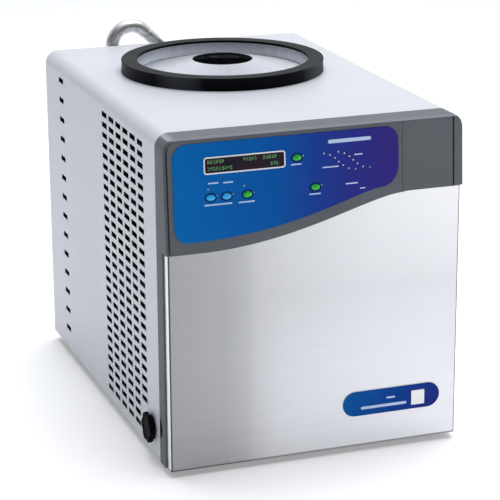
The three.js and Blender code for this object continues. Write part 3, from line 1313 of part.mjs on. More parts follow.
function addRefrigerantLines() {
  const stubX = COMPRESSOR_X - COMPRESSOR_RADIUS - STUB_REACH - CLEAR;
  const coreEnd = CORE_FRONT + CORE_LENGTH + CLEAR;
  const bend = 3 * LINE_TUBE;
  const pitch = (CORE_HEIGHT - 2 * CORE_RIM) / SERPENTINE_RUNS;
  const topRun = SEAT_Z + CORE_HEIGHT - CORE_RIM - pitch / 2;
  const bottomRun = SEAT_Z + CORE_RIM + pitch / 2;
  const high = COMPRESSOR_BASE + STUB_HIGH;
  const low = COMPRESSOR_BASE + STUB_LOW;
  const over = COMPRESSOR_BASE + COMPRESSOR_HEIGHT + LINE_TUBE + LINE_OVER;
  add('discharge_line', tube([
    [stubX, COMPRESSOR_Y, high], [TUBE_X / 2, COMPRESSOR_Y, high],
    [TUBE_X / 2, COMPRESSOR_Y, topRun], [TUBE_X, COMPRESSOR_Y, topRun],
    [TUBE_X, coreEnd, topRun],
  ], LINE_TUBE, bend), COPPER);

  const drierY = coreEnd + DRIER_LENGTH / 2 + DRIER_GAP;
  const neck = DRIER_NECK;
  const socket = LINE_TUBE + LINE_SOCKET;
  const half = DRIER_LENGTH / 2;
  const drier = turned([
    [0, -half], [socket, -half], [socket, -half + neck / 2],
    [DRIER_RADIUS, -half + neck], [DRIER_RADIUS, half - neck],
    [socket, half - neck / 2], [socket, half], [0, half],
  ], FEW_ROUND).rotateX(Math.PI / 2);
  add('filter_drier', drier, COPPER).position.set(TUBE_X, drierY, bottomRun);
  add('drier_inlet_line', tube([
    [TUBE_X, coreEnd, bottomRun], [TUBE_X, drierY - half - CLEAR, bottomRun],
  ], LINE_TUBE, 0), COPPER);
  const afterDrier = drierY + half + CLEAR;
  const riserY = afterDrier + RISER_BENDS * bend;
  add('liquid_line', tube([
    [TUBE_X, afterDrier, bottomRun], [TUBE_X, riserY, bottomRun],
    [-LINE_ENTRY_X, riserY, bottomRun], [-LINE_ENTRY_X, riserY, high + 2 * bend],
    [-LINE_ENTRY_X, LINE_ENTRY_Y, high + 2 * bend], [-LINE_ENTRY_X, LINE_ENTRY_Y, LINE_ENTRY_Z],
  ], LINE_TUBE - CLEAR, bend), COPPER);
  add('suction_line', tube([
    [stubX, COMPRESSOR_Y, low], [-LINE_ENTRY_X / 2, COMPRESSOR_Y, low],
    [-LINE_ENTRY_X / 2, COMPRESSOR_Y + 2 * bend, low],
    [-LINE_ENTRY_X / 2, COMPRESSOR_Y + 2 * bend, over],
    [LINE_ENTRY_X, COMPRESSOR_Y + 2 * bend, over],
    [LINE_ENTRY_X, LINE_ENTRY_Y, over], [LINE_ENTRY_X, LINE_ENTRY_Y, LINE_ENTRY_Z],
  ], LINE_TUBE - CLEAR, bend), COPPER);
}

// ---------------------------------------------------------------- electrics

// A panel-mounted socket: flange outside the rear panel, body inside it, open at the back.
function panelSocket({ width, height, depth, flange }, shellThick) {
  const faceY = REAR_PANEL_Y + SHEET;
  const wide = width / 2 + shellThick;
  const high = height / 2 + shellThick;
  const body = block([-wide, faceY - depth, -high], [wide, faceY + CUT, high]);
  const rim = block([-wide - flange, faceY + CLEAR, -high - flange],
    [wide + flange, faceY + CLEAR + BEZEL_THICK, high + flange]);
  const recess = block([-width / 2, faceY - depth + shellThick, -height / 2],
    [width / 2, faceY + BEZEL_THICK + CUT, height / 2]);
  return cut(join(body, rim), recess);
}

function powerInlet() {
  const socket = panelSocket(INLET, SHEET);
  const root = REAR_PANEL_Y + SHEET - INLET.depth + SHEET / 2;
  const places = [[-PIN.spread, -PIN.drop], [0, PIN.earthRise], [PIN.spread, -PIN.drop]];
  const tip = root + INLET.depth * PIN.reach;
  const pins = places.map(([x, z]) => (
    block([x - PIN.wide / 2, root, z - PIN.high / 2], [x + PIN.wide / 2, tip, z + PIN.high / 2])
  ));
  return join(socket, ...pins);
}

function rocker() {
  const reach = SWITCH.height / 2 - CLEAR - ROCKER.gap;
  const shape = new THREE.Shape();
  shape.moveTo(-ROCKER.back, -reach + ROCKER.step);
  shape.lineTo(ROCKER.end, -reach);
  shape.lineTo(ROCKER.middle, 0);
  shape.lineTo(ROCKER.end, reach);
  shape.lineTo(-ROCKER.back, reach - ROCKER.step);
  shape.lineTo(-ROCKER.belly, ROCKER.bellyHalf);
  shape.lineTo(-ROCKER.belly, -ROCKER.bellyHalf);
  shape.closePath();
  const half = SWITCH.width / 2 - CLEAR;
  return alongX(shape, -half, half);
}

function addElectrics() {
  const { sideGap, frontGap, width, depth, height } = SUPPLY;
  const x = HALF - sideGap;
  const y = frontGap;
  const box = block([x - width / 2, y - depth / 2, SEAT_Z],
    [x + width / 2, y + depth / 2, SEAT_Z + height]);
  add('power_supply', box, GALVANISED);
  const can = CAPACITOR;
  const canOutline = turned([[0, 0], [can.radius, 0], [can.radius, can.height - can.edge],
    [can.radius - can.edge, can.height], [0, can.height]]);
  add('start_capacitor', canOutline, ALUMINIUM)
    .position.set(can.offset, COVER_DEPTH - can.rearGap, SEAT_Z);
  add('power_inlet', powerInlet(), BLACK_PLASTIC).position.set(HALF - INLET.sideGap, 0, INLET.up);
  add('power_switch_housing', panelSocket(SWITCH, SHEET), BLACK_PLASTIC)
    .position.set(HALF - SWITCH.sideGap, 0, SWITCH.up);
  const tilted = add('power_rocker', rocker(), BLACK_PLASTIC);
  tilted.position.set(HALF - SWITCH.sideGap, REAR_PANEL_Y + SHEET - ROCKER_INSET, SWITCH.up);
  tilted.rotation.x = THREE.MathUtils.degToRad(-ROCKER_TILT);
}

// ---------------------------------------------------------------- whole dryer

addCabinet();
addControls();
addFrontPanel();
addCollector();
addDrain();
addVacuumLine();
addCondenser();
addCompressor();
addRefrigerantLines();
addElectrics();

const standing = new THREE.Group();
standing.add(dryer);
const footprint = new THREE.Box3().setFromObject(dryer);
const middle = footprint.getCenter(new THREE.Vector3());
dryer.position.set(-middle.x, -middle.y, 0);

export default standing;
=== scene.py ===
"""Benchtop freeze dryer: finishes, fine forms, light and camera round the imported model.

Pieces are drawn in millimetres in the maker's frame: x = 0 is the middle of the cabinet, y = 0 is
the cover's front edge and z = 0 is the bench. IN_PLACE takes them to the dryer's own frame.
"""

import math
import random

import bmesh
import bpy
from mathutils import Matrix, Quaternion, Vector
from mathutils.geometry import interpolate_bezier


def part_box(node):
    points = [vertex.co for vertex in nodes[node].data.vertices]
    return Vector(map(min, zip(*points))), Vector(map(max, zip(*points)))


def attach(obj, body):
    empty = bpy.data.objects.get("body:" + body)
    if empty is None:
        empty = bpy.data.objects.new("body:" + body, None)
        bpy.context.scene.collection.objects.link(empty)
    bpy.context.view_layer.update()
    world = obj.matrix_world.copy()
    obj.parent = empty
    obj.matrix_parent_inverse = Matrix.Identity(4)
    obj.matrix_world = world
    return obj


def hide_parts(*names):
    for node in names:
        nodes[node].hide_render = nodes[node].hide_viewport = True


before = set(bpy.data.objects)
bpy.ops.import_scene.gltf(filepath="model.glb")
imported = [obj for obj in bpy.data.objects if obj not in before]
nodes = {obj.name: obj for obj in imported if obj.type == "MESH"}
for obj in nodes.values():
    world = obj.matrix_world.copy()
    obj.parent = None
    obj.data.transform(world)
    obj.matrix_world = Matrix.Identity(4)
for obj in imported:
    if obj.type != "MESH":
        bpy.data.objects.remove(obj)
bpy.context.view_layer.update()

# ---------------------------------------------------------------- places taken from the model

MM = 0.001
cover_low, cover_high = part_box("cabinet_cover")
HALF = (cover_high.x - cover_low.x) / 2 / MM
MIDDLE_X = (cover_high.x + cover_low.x) / 2
FRONT_Y = cover_low.y
TOP = cover_high.z / MM
COVER_CORNER = 16.0
BOTTOM = cover_low.z / MM
DEPTH = (cover_high.y - cover_low.y) / MM
IN_PLACE = Matrix.Translation((MIDDLE_X, FRONT_Y, 0)) @ Matrix.Scale(MM, 4)

HOOD_DEPTH = 30.0
HOOD_LEAN = 0.0615
FACE_TOP = TOP - 1
LEAN = Matrix(((1, 0, 0, 0), (0, 1, HOOD_LEAN, -HOOD_LEAN * FACE_TOP), (0, 0, 1, 0), (0, 0, 0, 1)))
ON_FACE = IN_PLACE @ Matrix.Translation((0, -HOOD_DEPTH, FACE_TOP)) @ Matrix.Rotation(
    -math.atan(HOOD_LEAN), 4, "X")


def on_face(z):
    """Height along the leaning face of a point at height z above the bench."""
    return (z - FACE_TOP) * math.sqrt(1 + HOOD_LEAN ** 2)


def box_mm(node):
    """A node's lowest and highest corners in the maker's frame."""
    low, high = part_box(node)
    back = IN_PLACE.inverted()
    return back @ low, back @ high


# ---------------------------------------------------------------- shaping

OVAL_SIDES = 40
MERGE = 1e-4
ALONG_X = Matrix.Rotation(math.pi / 2, 4, "Y")
AGAINST_X = Matrix.Rotation(-math.pi / 2, 4, "Y")
ALONG_Y = Matrix.Rotation(math.pi / 2, 4, "X")
AGAINST_Y = Matrix.Rotation(-math.pi / 2, 4, "X")
FLAT_WEIGHT = 80  # how strongly the large faces pull the shading of their rounded edges


def verts_of(geom):
    return [g for g in geom if isinstance(g, bmesh.types.BMVert)]


def edges_of(geom):
    return [g for g in geom if isinstance(g, bmesh.types.BMEdge)]


def outline(corners, segments=8):
    """A flat face in x and z. A corner is (x, z), or (x, z, radius) where it is rounded."""
    bm = bmesh.new()
    verts = [bm.verts.new((corner[0], 0, corner[1])) for corner in corners]
    bm.faces.new(verts)
    for vert, corner in zip(verts, corners):
        if len(corner) > 2:
            bmesh.ops.bevel(bm, geom=[vert], offset=corner[2], offset_type="OFFSET",
                            affect="VERTICES", segments=segments, profile=0.5, material=-1)
    return bm


def rectangle(x0, x1, z0, z1, corner=None, segments=8):
    points = [(x0, z0), (x1, z0), (x1, z1), (x0, z1)]
    if corner:
        points = [(*p, corner) for p in points]
    return outline(points, segments)


def oval(x, z, half_wide, half_high):
    bm = bmesh.new()
    bmesh.ops.create_circle(bm, cap_ends=True, segments=OVAL_SIDES, radius=1,
                            matrix=ALONG_Y)
    bmesh.ops.scale(bm, verts=bm.verts, vec=(half_wide, 1, half_high))
    bmesh.ops.translate(bm, verts=bm.verts, vec=(x, 0, z))
    return bm


def deepened(bm, y0, y1):
    """Draws a flat outline out from y0 to y1."""
    bmesh.ops.translate(bm, verts=bm.verts, vec=(0, y0, 0))
    made = bmesh.ops.extrude_face_region(bm, geom=bm.faces[:])["geom"]
    bmesh.ops.translate(bm, verts=verts_of(made), vec=(0, y1 - y0, 0))
    bmesh.ops.recalc_face_normals(bm, faces=bm.faces)
    return bm


def eased(bm, chosen, radius, segments=3):
    """Rounds the edges that the test picks."""
    bm.edges.ensure_lookup_table()
    edges = [e for e in bm.edges if chosen(e)]
    bmesh.ops.bevel(bm, geom=edges, offset=radius, offset_type="OFFSET", affect="EDGES",
                    segments=segments, profile=0.5, material=-1, clamp_overlap=True)
    return bm


def lies_at(axis, value):
    """A test for edges that lie in one plane."""
    return lambda e: all(abs(v.co[axis] - value) < MERGE for v in e.verts)


def runs_along(axis):
    """A test for edges that run along one axis."""
    def test(e):
        way = e.verts[1].co - e.verts[0].co
        return way.length - abs(way[axis]) < MERGE
    return test


def is_sharp(degrees):
    """A test for edges whose two faces meet at more than an angle."""
    return lambda e: len(e.link_faces) == 2 and e.calc_face_angle(0) > math.radians(degrees)


def block(low, high, ease=0.0):
    """A box between two corners, its edges rounded where asked."""
    bm = bmesh.new()
    bmesh.ops.create_cube(bm, size=1)
    size = [b - a for a, b in zip(low, high)]
    bmesh.ops.scale(bm, verts=bm.verts, vec=size)
    bmesh.ops.translate(bm, verts=bm.verts, vec=[(a + b) / 2 for a, b in zip(low, high)])
    if ease:
        eased(bm, lambda e: True, ease, 2)
    return bm


def turned(corners, steps=96, segments=4):
    """A closed profile of (radius, height), rounded where a third number says, spun round Z."""
    bm = outline(corners, segments)
    bmesh.ops.delete(bm, geom=bm.faces[:], context="FACES_ONLY")
    on_axis = [e for e in bm.edges if all(abs(v.co.x) < 1e-6 for v in e.verts)]
    bmesh.ops.delete(bm, geom=on_axis, context="EDGES")
    bmesh.ops.spin(bm, geom=bm.verts[:] + bm.edges[:], cent=(0, 0, 0), axis=(0, 0, 1),
                   angle=math.tau, steps=steps, use_merge=True, use_duplicate=False)
    bmesh.ops.remove_doubles(bm, verts=bm.verts, dist=MERGE)
    bmesh.ops.recalc_face_normals(bm, faces=bm.faces)
    return bm


def moved(bm, place=(0, 0, 0), turn=None):
    """Turns a shape where asked, then shifts it to its place."""
    if turn:
        bmesh.ops.transform(bm, matrix=turn, verts=bm.verts)
    bmesh.ops.translate(bm, verts=bm.verts, vec=place)
    return bm


def together(*parts):
    """One bmesh that holds several closed shapes."""
    whole = bmesh.new()
    for part in parts:
        mesh = bpy.data.meshes.new("part")
        part.to_mesh(mesh)
        part.free()
        whole.from_mesh(mesh)
        bpy.data.meshes.remove(mesh)
    return whole


def scratch(bm, name):
    """An object for a moment, for a modifier to work on."""
    mesh = bpy.data.meshes.new(name)
    bm.to_mesh(mesh)
    bm.free()
    thing = bpy.data.objects.new(name, mesh)
    bpy.context.scene.collection.objects.link(thing)
    return thing


def carved(body, *cutters):
    """Cuts closed shapes out of a closed body."""
    target = scratch(body, "body")
    tool = scratch(together(*cutters), "tool")
    cut = target.modifiers.new("cut", "BOOLEAN")
    cut.operation = "DIFFERENCE"
    cut.solver = "EXACT"
    cut.object = tool
    depsgraph = bpy.context.evaluated_depsgraph_get()
    mesh = bpy.data.meshes.new_from_object(target.evaluated_get(depsgraph))
    result = bmesh.new()
    result.from_mesh(mesh)
    for thing in (target, tool):
        old = thing.data
        bpy.data.objects.remove(thing)
        bpy.data.meshes.remove(old)
    bpy.data.meshes.remove(mesh)
    return result


def pipe(radius, start, heading, moves, sides=36, ease=0.6):
    """A round bar along a line. A move is a length, or (pivot, axis, degrees, steps) for a bend."""
    bm = bmesh.new()
    facing = Vector(heading).to_track_quat("Z", "Y").to_matrix().to_4x4()
    bmesh.ops.create_circle(bm, cap_ends=False, segments=sides, radius=radius,
                            matrix=Matrix.Translation(start) @ facing)
    first = bm.edges[:]
    loop = first
    way = Vector(heading).normalized()
    for move in moves:
        if isinstance(move, (int, float)):
            made = bmesh.ops.extrude_edge_only(bm, edges=loop)["geom"]
            bmesh.ops.translate(bm, verts=verts_of(made), vec=way * move)
            loop = edges_of(made)
            ends = set(verts_of(made))
        else:
            pivot, axis, degrees, steps = move
            geom = loop + list({v for e in loop for v in e.verts})
            made = bmesh.ops.spin(bm, geom=geom, cent=pivot, axis=axis,
                                  angle=math.radians(degrees), steps=steps, use_merge=False,
                                  use_duplicate=False)["geom_last"]
            loop = edges_of(made)
            ends = set(verts_of(made))
            way = Matrix.Rotation(math.radians(degrees), 3, axis) @ way
        loop = [e for e in loop if all(v in ends for v in e.verts)]
    rims = [e for e in bm.edges if len(e.link_faces) == 1]
    bmesh.ops.holes_fill(bm, edges=rims, sides=sides + 1)
    bmesh.ops.recalc_face_normals(bm, faces=bm.faces)
    if ease:
        eased(bm, is_sharp(60), ease, 3)
    return bm


def piece(name, bm, finish, replaces=(), body="cabinet", matrix=IN_PLACE, smooth=32,
          level=True):
    """Closes a bmesh into a named piece that rides on its body."""
    bmesh.ops.transform(bm, matrix=matrix, verts=bm.verts)
    bmesh.ops.recalc_face_normals(bm, faces=bm.faces)
    mesh = bpy.data.meshes.new(name)
    bm.to_mesh(mesh)
    bm.free()
    mesh.shade_smooth()
    mesh.set_sharp_from_angle(angle=math.radians(smooth))
    mesh.materials.append(finish)
    made = bpy.data.objects.new(name, mesh)
    bpy.context.scene.collection.objects.link(made)
    if level:
        flats = made.modifiers.new("level flats", "WEIGHTED_NORMAL")
        flats.keep_sharp = True
        flats.weight = FLAT_WEIGHT
    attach(made, body)
    if replaces:
        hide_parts(*replaces)
    return made


# ---------------------------------------------------------------- finishes

def shade(red, green, blue):
    """A colour given as it looks on a screen, 0 to 255, made linear."""
    def linear(c):
        c /= 255
        return c / 12.92 if c <= 0.04045 else ((c + 0.055) / 1.055) ** 2.4
    return (linear(red), linear(green), linear(blue), 1.0)


def even(level):
    """A share of light, the same in red and green and a hair more in blue."""
    return (level, level, level * 1.01, 1.0)


class Finish:
    """A node material being put together: one shader, with patterns on Object coordinates."""

    def __init__(self, name, **settings):
        self.material = bpy.data.materials.new(name)
        self.material.use_nodes = True
        self.tree = self.material.node_tree
        self.shader = self.tree.nodes["Principled BSDF"]
        self.where = self.tree.nodes.new("ShaderNodeTexCoord").outputs["Object"]
        for socket, value in settings.items():
            self.shader.inputs[socket.replace("_", " ")].default_value = value

    def node(self, kind, **links):
        made = self.tree.nodes.new("ShaderNode" + kind)
        for socket, value in links.items():
            target = made.inputs[socket.replace("_", " ")]
            if isinstance(value, bpy.types.NodeSocket):
                self.tree.links.new(value, target)
            else:
                target.default_value = value
        return made

    def stretched(self, scale, turn=(0, 0, 0)):
        made = self.node("Mapping", Vector=self.where, Scale=scale, Rotation=turn)
        return made.outputs["Vector"]

    def noise(self, scale, detail=3.0, roughness=0.5, where=None):
        made = self.node("TexNoise", Vector=where or self.where, Scale=scale, Detail=detail,
                         Roughness=roughness)
        return made.outputs[0]

    def cells(self, scale):
        made = self.node("TexVoronoi", Vector=self.where, Scale=scale)
        return made.outputs["Distance"]

    def span(self, value, low, high, start=0.0, end=1.0):
        made = self.node("MapRange", Value=value)
        for socket, number in zip(("From Min", "From Max", "To Min", "To Max"),
                                  (start, end, low, high)):
            made.inputs[socket].default_value = number
        return made.outputs[0]

    def ramp(self, value, *stops):
        made = self.node("ValToRGB", Fac=value)
        marks = made.color_ramp.elements
        while len(marks) < len(stops):
            marks.new(0.5)
        for mark, (position, colour) in zip(marks, stops):
            mark.position = position
            mark.color = colour
        return made.outputs["Color"]

    def mixed(self, share, first, second, how="MIX"):
        made = self.tree.nodes.new("ShaderNodeMix")
        made.data_type = "RGBA"
        made.blend_type = how
        for socket, value in ((made.inputs[0], share), (made.inputs[6], first),
                              (made.inputs[7], second)):
            if isinstance(value, bpy.types.NodeSocket):
                self.tree.links.new(value, socket)
            else:
                socket.default_value = value
        return made.outputs[2]

    def axis(self, which):
        made = self.node("SeparateXYZ", Vector=self.where)
        return made.outputs[which]

    def sum(self, first, second, how="ADD"):
        made = self.tree.nodes.new("ShaderNodeMath")
        made.operation = how
        for socket, value in zip(made.inputs, (first, second)):
            if isinstance(value, bpy.types.NodeSocket):
                self.tree.links.new(value, socket)
            else:
                socket.default_value = value
        return made.outputs[0]

    def colour(self, output):
        self.tree.links.new(output, self.shader.inputs["Base Color"])
        return self

    def rough(self, output):
        self.tree.links.new(output, self.shader.inputs["Roughness"])
        return self

    def glow(self, output, strength):
        self.tree.links.new(output, self.shader.inputs["Emission Color"])
        self.shader.inputs["Emission Strength"].default_value = strength
        return self

    def bump(self, height, depth, strength=1.0):
        """A relief: depth is the height of the pattern in metres."""
        made = self.node("Bump", Height=height, Strength=strength)
        made.inputs["Distance"].default_value = depth
        self.tree.links.new(made.outputs["Normal"], self.shader.inputs["Normal"])
        return self


def powder_coat(name, pale, deep, inside=None):
    """Satin powder paint: a faint orange peel and a slow drift of tone; where asked, its inner
    faces are painted dark as painted shade."""
    made = Finish(name, Coat_Weight=0.12, Coat_Roughness=0.25)
    drift = made.noise(6, 2)
    coat = made.ramp(drift, (0.3, deep), (0.7, pale))
    if inside:
        coat = made.mixed(inside(made), coat, INSIDE_PAINTED_SHADE)
    made.colour(coat)
    made.rough(made.span(made.noise(90, 3), 0.36, 0.48))
    return made.bump(made.noise(1100, 2, 0.45), 0.00003, 0.55).material


def moulded(name, pale, deep, roughness=(0.42, 0.56), grain=1500, depth=0.00003, gloss=0.3,
            top_painted_light=None):
    """Moulded plastic with a fine spark-eroded grain; where asked, a band below its top is painted
    lighter as a painted highlight.
    """
    made = Finish(name, Specular_IOR_Level=gloss)
    plain = made.mixed(made.span(made.noise(14, 3), 0, 1, 0.3, 0.7), deep, pale)
    if top_painted_light:
        height = made.span(made.axis(2), 0, 1, cover_high.z - TOP_LIGHT_REACH, cover_high.z)
        share = made.ramp(height, *((at, even(level)) for at, level, _ in top_painted_light))
        plain = made.mixed(share, plain, made.ramp(height, *((at, tone) for at, _, tone in top_painted_light)))
    made.colour(plain)
    made.rough(made.span(made.noise(60, 4), *roughness))
    speck = made.sum(made.noise(grain, 3, 0.6), made.cells(grain * 0.8))
    return made.bump(speck, depth, 0.5).material


BRUSH_LINES = 900
BRUSH_BANDS = BRUSH_LINES / 8
BRUSH_DEPTH = 0.000003


def brushed(name, pale, deep, stretch, roughness, shading):
    """Metal brushed one way: the long fine lines change its tone, gloss and relief; the painted
    light and shade from shading multiplies its colour.
    """
    made = Finish(name, Metallic=1.0, Anisotropic=0.5)
    lines = made.noise(BRUSH_LINES, 5, 0.65, made.stretched(stretch))
    broad = made.noise(BRUSH_BANDS, 3, 0.5, made.stretched(stretch))
    tone = made.sum(made.sum(lines, 0.6, "MULTIPLY"), made.sum(broad, 0.4, "MULTIPLY"))
    plain = made.ramp(tone, (0.32, deep), (0.68, pale))
    made.colour(made.mixed(1.0, plain, shading(made), "MULTIPLY"))
    made.rough(made.span(lines, *roughness))
    return made.bump(lines, BRUSH_DEPTH, 0.4).material


# The front panel's painted reflection: shares of light from its left to its right edge, near its
# top and its foot.
HIGH_SHADES = [(0.0, 0.375), (0.19, 0.42), (0.25, 0.46), (0.3, 0.545), (0.4, 0.585), (0.55, 0.61),
               (0.7, 0.62), (1.0, 0.6)]
LOW_SHADES = [(0.0, 0.41), (0.08, 0.43), (0.19, 0.47), (0.25, 0.54), (0.3, 0.66), (0.36, 0.77),
              (0.45, 0.82), (0.7, 0.85), (0.9, 0.86), (1.0, 0.84)]
LOW_HEIGHT = 0.02
HIGH_HEIGHT = 0.2
# A painted highlight, then a painted dark line, from a folded edge inwards, and a painted dark line
# from the hem upwards.
FOLD_SHADES = [(0.0, 1.0), (0.08, 1.0), (0.2, 0.22), (0.5, 0.3), (0.72, 1.0)]
HEM_SHADES = [(0.0, 0.3), (0.35, 0.35), (0.6, 1.0)]
FOLD_REACH = 0.0035


def panel_painted_reflection(made):
    """Painted reflection on the front panel: a slow drift from a dark left to a bright right, a
    painted highlight and a painted dark line at its folds, and a painted dark line at its hem.
    """
    low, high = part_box("front_panel")
    middle, half = (low.x + high.x) / 2, (high.x - low.x) / 2
    across = made.axis(0)
    along = made.span(across, 0, 1, low.x, high.x)
    height = made.span(made.axis(2), 0, 1, LOW_HEIGHT, HIGH_HEIGHT)
    drift = made.mixed(height, *(made.ramp(along, *((at, even(level)) for at, level in shades))
                                 for shades in (LOW_SHADES, HIGH_SHADES)))
    off_middle = made.sum(made.sum(across, middle, "SUBTRACT"), 0.0, "ABSOLUTE")
    inward = made.span(off_middle, 0, 1, half, half - FOLD_REACH)
    folds = made.ramp(inward, *((at, even(level)) for at, level in FOLD_SHADES))
    keep = made.ramp(inward, (0.1, even(1.0)), (0.12, even(0.0)))
    upward = made.span(made.axis(2), 0, 1, low.z, low.z + FOLD_REACH)
    hem = made.ramp(upward, *((at, even(level)) for at, level in HEM_SHADES))
    return made.mixed(1.0, made.mixed(1.0, made.mixed(keep, drift, even(1.0)), folds, "MULTIPLY"),
                      hem, "MULTIPLY")


# Painted shade on the collector wall: its shares of light from the baffle's rim up to the mouth.
WALL_SHADES = [(0.0, 0.5), (0.07, 0.5), (0.1, 1.0), (0.34, 0.86), (0.7, 0.56), (1.0, 0.48)]
# Where the painted shade round the baffle's hole ends, how fast it fades, and how dark it is.
HOLE_EDGE = 0.0371
HOLE_FADE = 0.0011
HOLE_PAINTED_SHADE = 0.16


def from_collector(made):
    """The distance from the collector's upright axis, and its two parts along x and y."""
    low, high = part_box("chamber_gasket")
    middle = (low + high) / 2
    offsets = [made.sum(made.axis(which), middle[which], "SUBTRACT") for which in (0, 1)]
    squares = [made.sum(part, part, "MULTIPLY") for part in offsets]
    return made.sum(made.sum(*squares), 0.5, "POWER"), offsets


def wall_painted_shade(made):
    """Painted shade on the pot's wall: bright just above the baffle, darker towards its mouth and
    below.
    """
    bottom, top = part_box("collector_baffle")[0].z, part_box("chamber_gasket")[1].z
    height = made.span(made.axis(2), 0, 1, bottom, top)
    return made.ramp(height, *((at, even(level)) for at, level in WALL_SHADES))


def hole_painted_shade(made):
    """Painted shade on the baffle's rolled edge round its hole."""
    out = from_collector(made)[0]
    away = made.span(out, 0, 1, HOLE_EDGE, HOLE_EDGE + HOLE_FADE)
    return made.ramp(away, (0.0, even(HOLE_PAINTED_SHADE)), (1.0, even(1.0)))


# Two stretches of the ring's side that carry a painted highlight: the turn from the front to its
# middle, and half its width.
HIGHLIGHT_TURNS = [(math.radians(-44), math.radians(16)), (math.radians(46), math.radians(15))]
HIGHLIGHT_SKIN = 0.0014
SKIN = 0.0004


def side_painted_highlights(made):
    """One where a soft grey highlight is painted on the ring's upright side."""
    low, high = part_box("chamber_gasket")
    radius = (high.x - low.x) / 2
    out, offsets = from_collector(made)
    shares = []
    for turn, reach in HIGHLIGHT_TURNS:
        parts = [made.sum(offset, share / radius, "MULTIPLY")
                 for offset, share in zip(offsets, (math.sin(turn), -math.cos(turn)))]
        shares.append(made.span(made.sum(*parts), 0, 1, math.cos(reach), 1.0))
    side = made.span(out, 0, 1, radius - HIGHLIGHT_SKIN, radius - HIGHLIGHT_SKIN + SKIN)
    return made.sum(made.sum(*shares, "MAXIMUM"), side, "MULTIPLY")


CRYSTALS = 130.0


def spangled(name, pale, deep):
    """Zinc-coated sheet: crystals of slightly different grey."""
    made = Finish(name, Metallic=1.0)
    crystal = made.node("TexVoronoi", Vector=made.where, Scale=CRYSTALS).outputs["Color"]
    grey = made.node("RGBToBW", Color=crystal).outputs[0]
    made.colour(made.ramp(grey, (0.2, deep), (0.8, pale)))
    made.rough(made.span(made.sum(grey, made.noise(300, 3), "MULTIPLY"), 0.34, 0.6, 0, 0.7))
    return made.bump(made.noise(700, 3), 0.00001, 0.4).material


def dull_pipe():
    """Plated pipe that has dulled in patches, with fine draw lines along it."""
    made = Finish("dull plated pipe", Metallic=0.85)
    patches = made.noise(55, 5, 0.6)
    fine = made.noise(500, 3, 0.6)
    tone = made.sum(made.sum(patches, 0.7, "MULTIPLY"), made.sum(fine, 0.3, "MULTIPLY"))
    made.colour(made.ramp(tone, (0.34, shade(156, 155, 156)), (0.48, shade(200, 200, 202)),
                          (0.66, shade(232, 232, 234))))
    made.rough(made.span(tone, 0.5, 0.28, 0.3, 0.7))
    return made.bump(tone, 0.00008, 0.5).material


def rubber(name, pale, deep, roughness=(0.5, 0.7), painted_highlight=None):
    """Moulded black rubber with a bloom of dust grey and a fine pore; where asked, a grey painted
    highlight is mixed in.
    """
    made = Finish(name, Specular_IOR_Level=0.05)
    bloom = made.noise(35, 4, 0.6)
    plain = made.ramp(bloom, (0.35, deep), (0.7, pale))
    if painted_highlight:
        plain = made.mixed(painted_highlight(made), plain, HIGHLIGHT_GREY)
    made.colour(plain)
    made.rough(made.span(bloom, *roughness))
    return made.bump(made.noise(1600, 3, 0.6), 0.00004, 0.5).material


def painted_film(name, stops, start, end, lift=0.0):
    """Printed film: its colour runs from one end of the panel to the other."""
    made = Finish(name, Specular_IOR_Level=0.06)
    along = made.span(made.sum(made.axis(0), made.sum(made.axis(2), lift, "MULTIPLY")), 0, 1,
                      start, end)
    cloud = made.ramp(made.noise(24, 2), (0.35, (0.95, 0.95, 0.95, 1)), (0.65, (1, 1, 1, 1)))
    made.colour(made.mixed(1.0, made.ramp(along, *stops), cloud, "MULTIPLY"))
    made.rough(made.span(made.noise(120, 3), 0.24, 0.34))
    return made.bump(made.noise(2600, 2), 0.000002, 0.3).material


def bright_metal(name, pale, deep, roughness=(0.22, 0.4), scale=140):
    """Plain drawn metal tube or bar with a soft mottled tarnish."""
    made = Finish(name, Metallic=1.0)
    mottle = made.noise(scale, 4, 0.6)
    made.colour(made.ramp(mottle, (0.3, deep), (0.7, pale)))
    made.rough(made.span(mottle, roughness[1], roughness[0]))
    return made.bump(made.noise(scale * 6, 3), 0.00001, 0.4).material


def glossy_cap(name, pale, deep):
    """A tinted moulded button, slightly see-through towards its rim."""
    made = Finish(name, Specular_IOR_Level=0.35, Coat_Weight=0.25, Coat_Roughness=0.12)
    made.colour(made.ramp(made.noise(180, 3), (0.35, deep), (0.65, pale)))
    made.rough(made.span(made.noise(400, 2), 0.24, 0.34))
    return made.bump(made.noise(1200, 2), 0.00001, 0.3).material


def display_glass():
    """Dark smoked window with a faint warm drift behind it."""
    made = Finish("smoked display window", Specular_IOR_Level=0.15)
    made.colour(made.ramp(made.noise(45, 3), (0.35, shade(14, 14, 26)), (0.5, shade(38, 14, 38)),
                          (0.7, shade(16, 24, 34))))
    made.rough(made.span(made.noise(160, 2), 0.12, 0.2))
    return made.bump(made.noise(900, 2), 0.000004, 0.3).material


def lit(name, colour, deep, strength):
    """A small lamp or lit bar: brighter in its middle tones."""
    made = Finish(name, Roughness=0.3)
    speck = made.noise(900, 2)
    made.colour(made.ramp(speck, (0.3, deep), (0.7, colour)))
    made.glow(made.ramp(speck, (0.3, deep), (0.7, colour)), strength)
    return made.bump(speck, 0.00001, 0.3).material


def foam():
    """Closed-cell insulation: dark pores in paler skin."""
    made = Finish("closed-cell foam")
    pores = made.cells(700)
    made.colour(made.ramp(pores, (0.1, shade(24, 25, 30)), (0.6, shade(52, 54, 60))))
    made.rough(made.span(pores, 0.8, 0.95))
    return made.bump(pores, 0.0003, 0.8).material


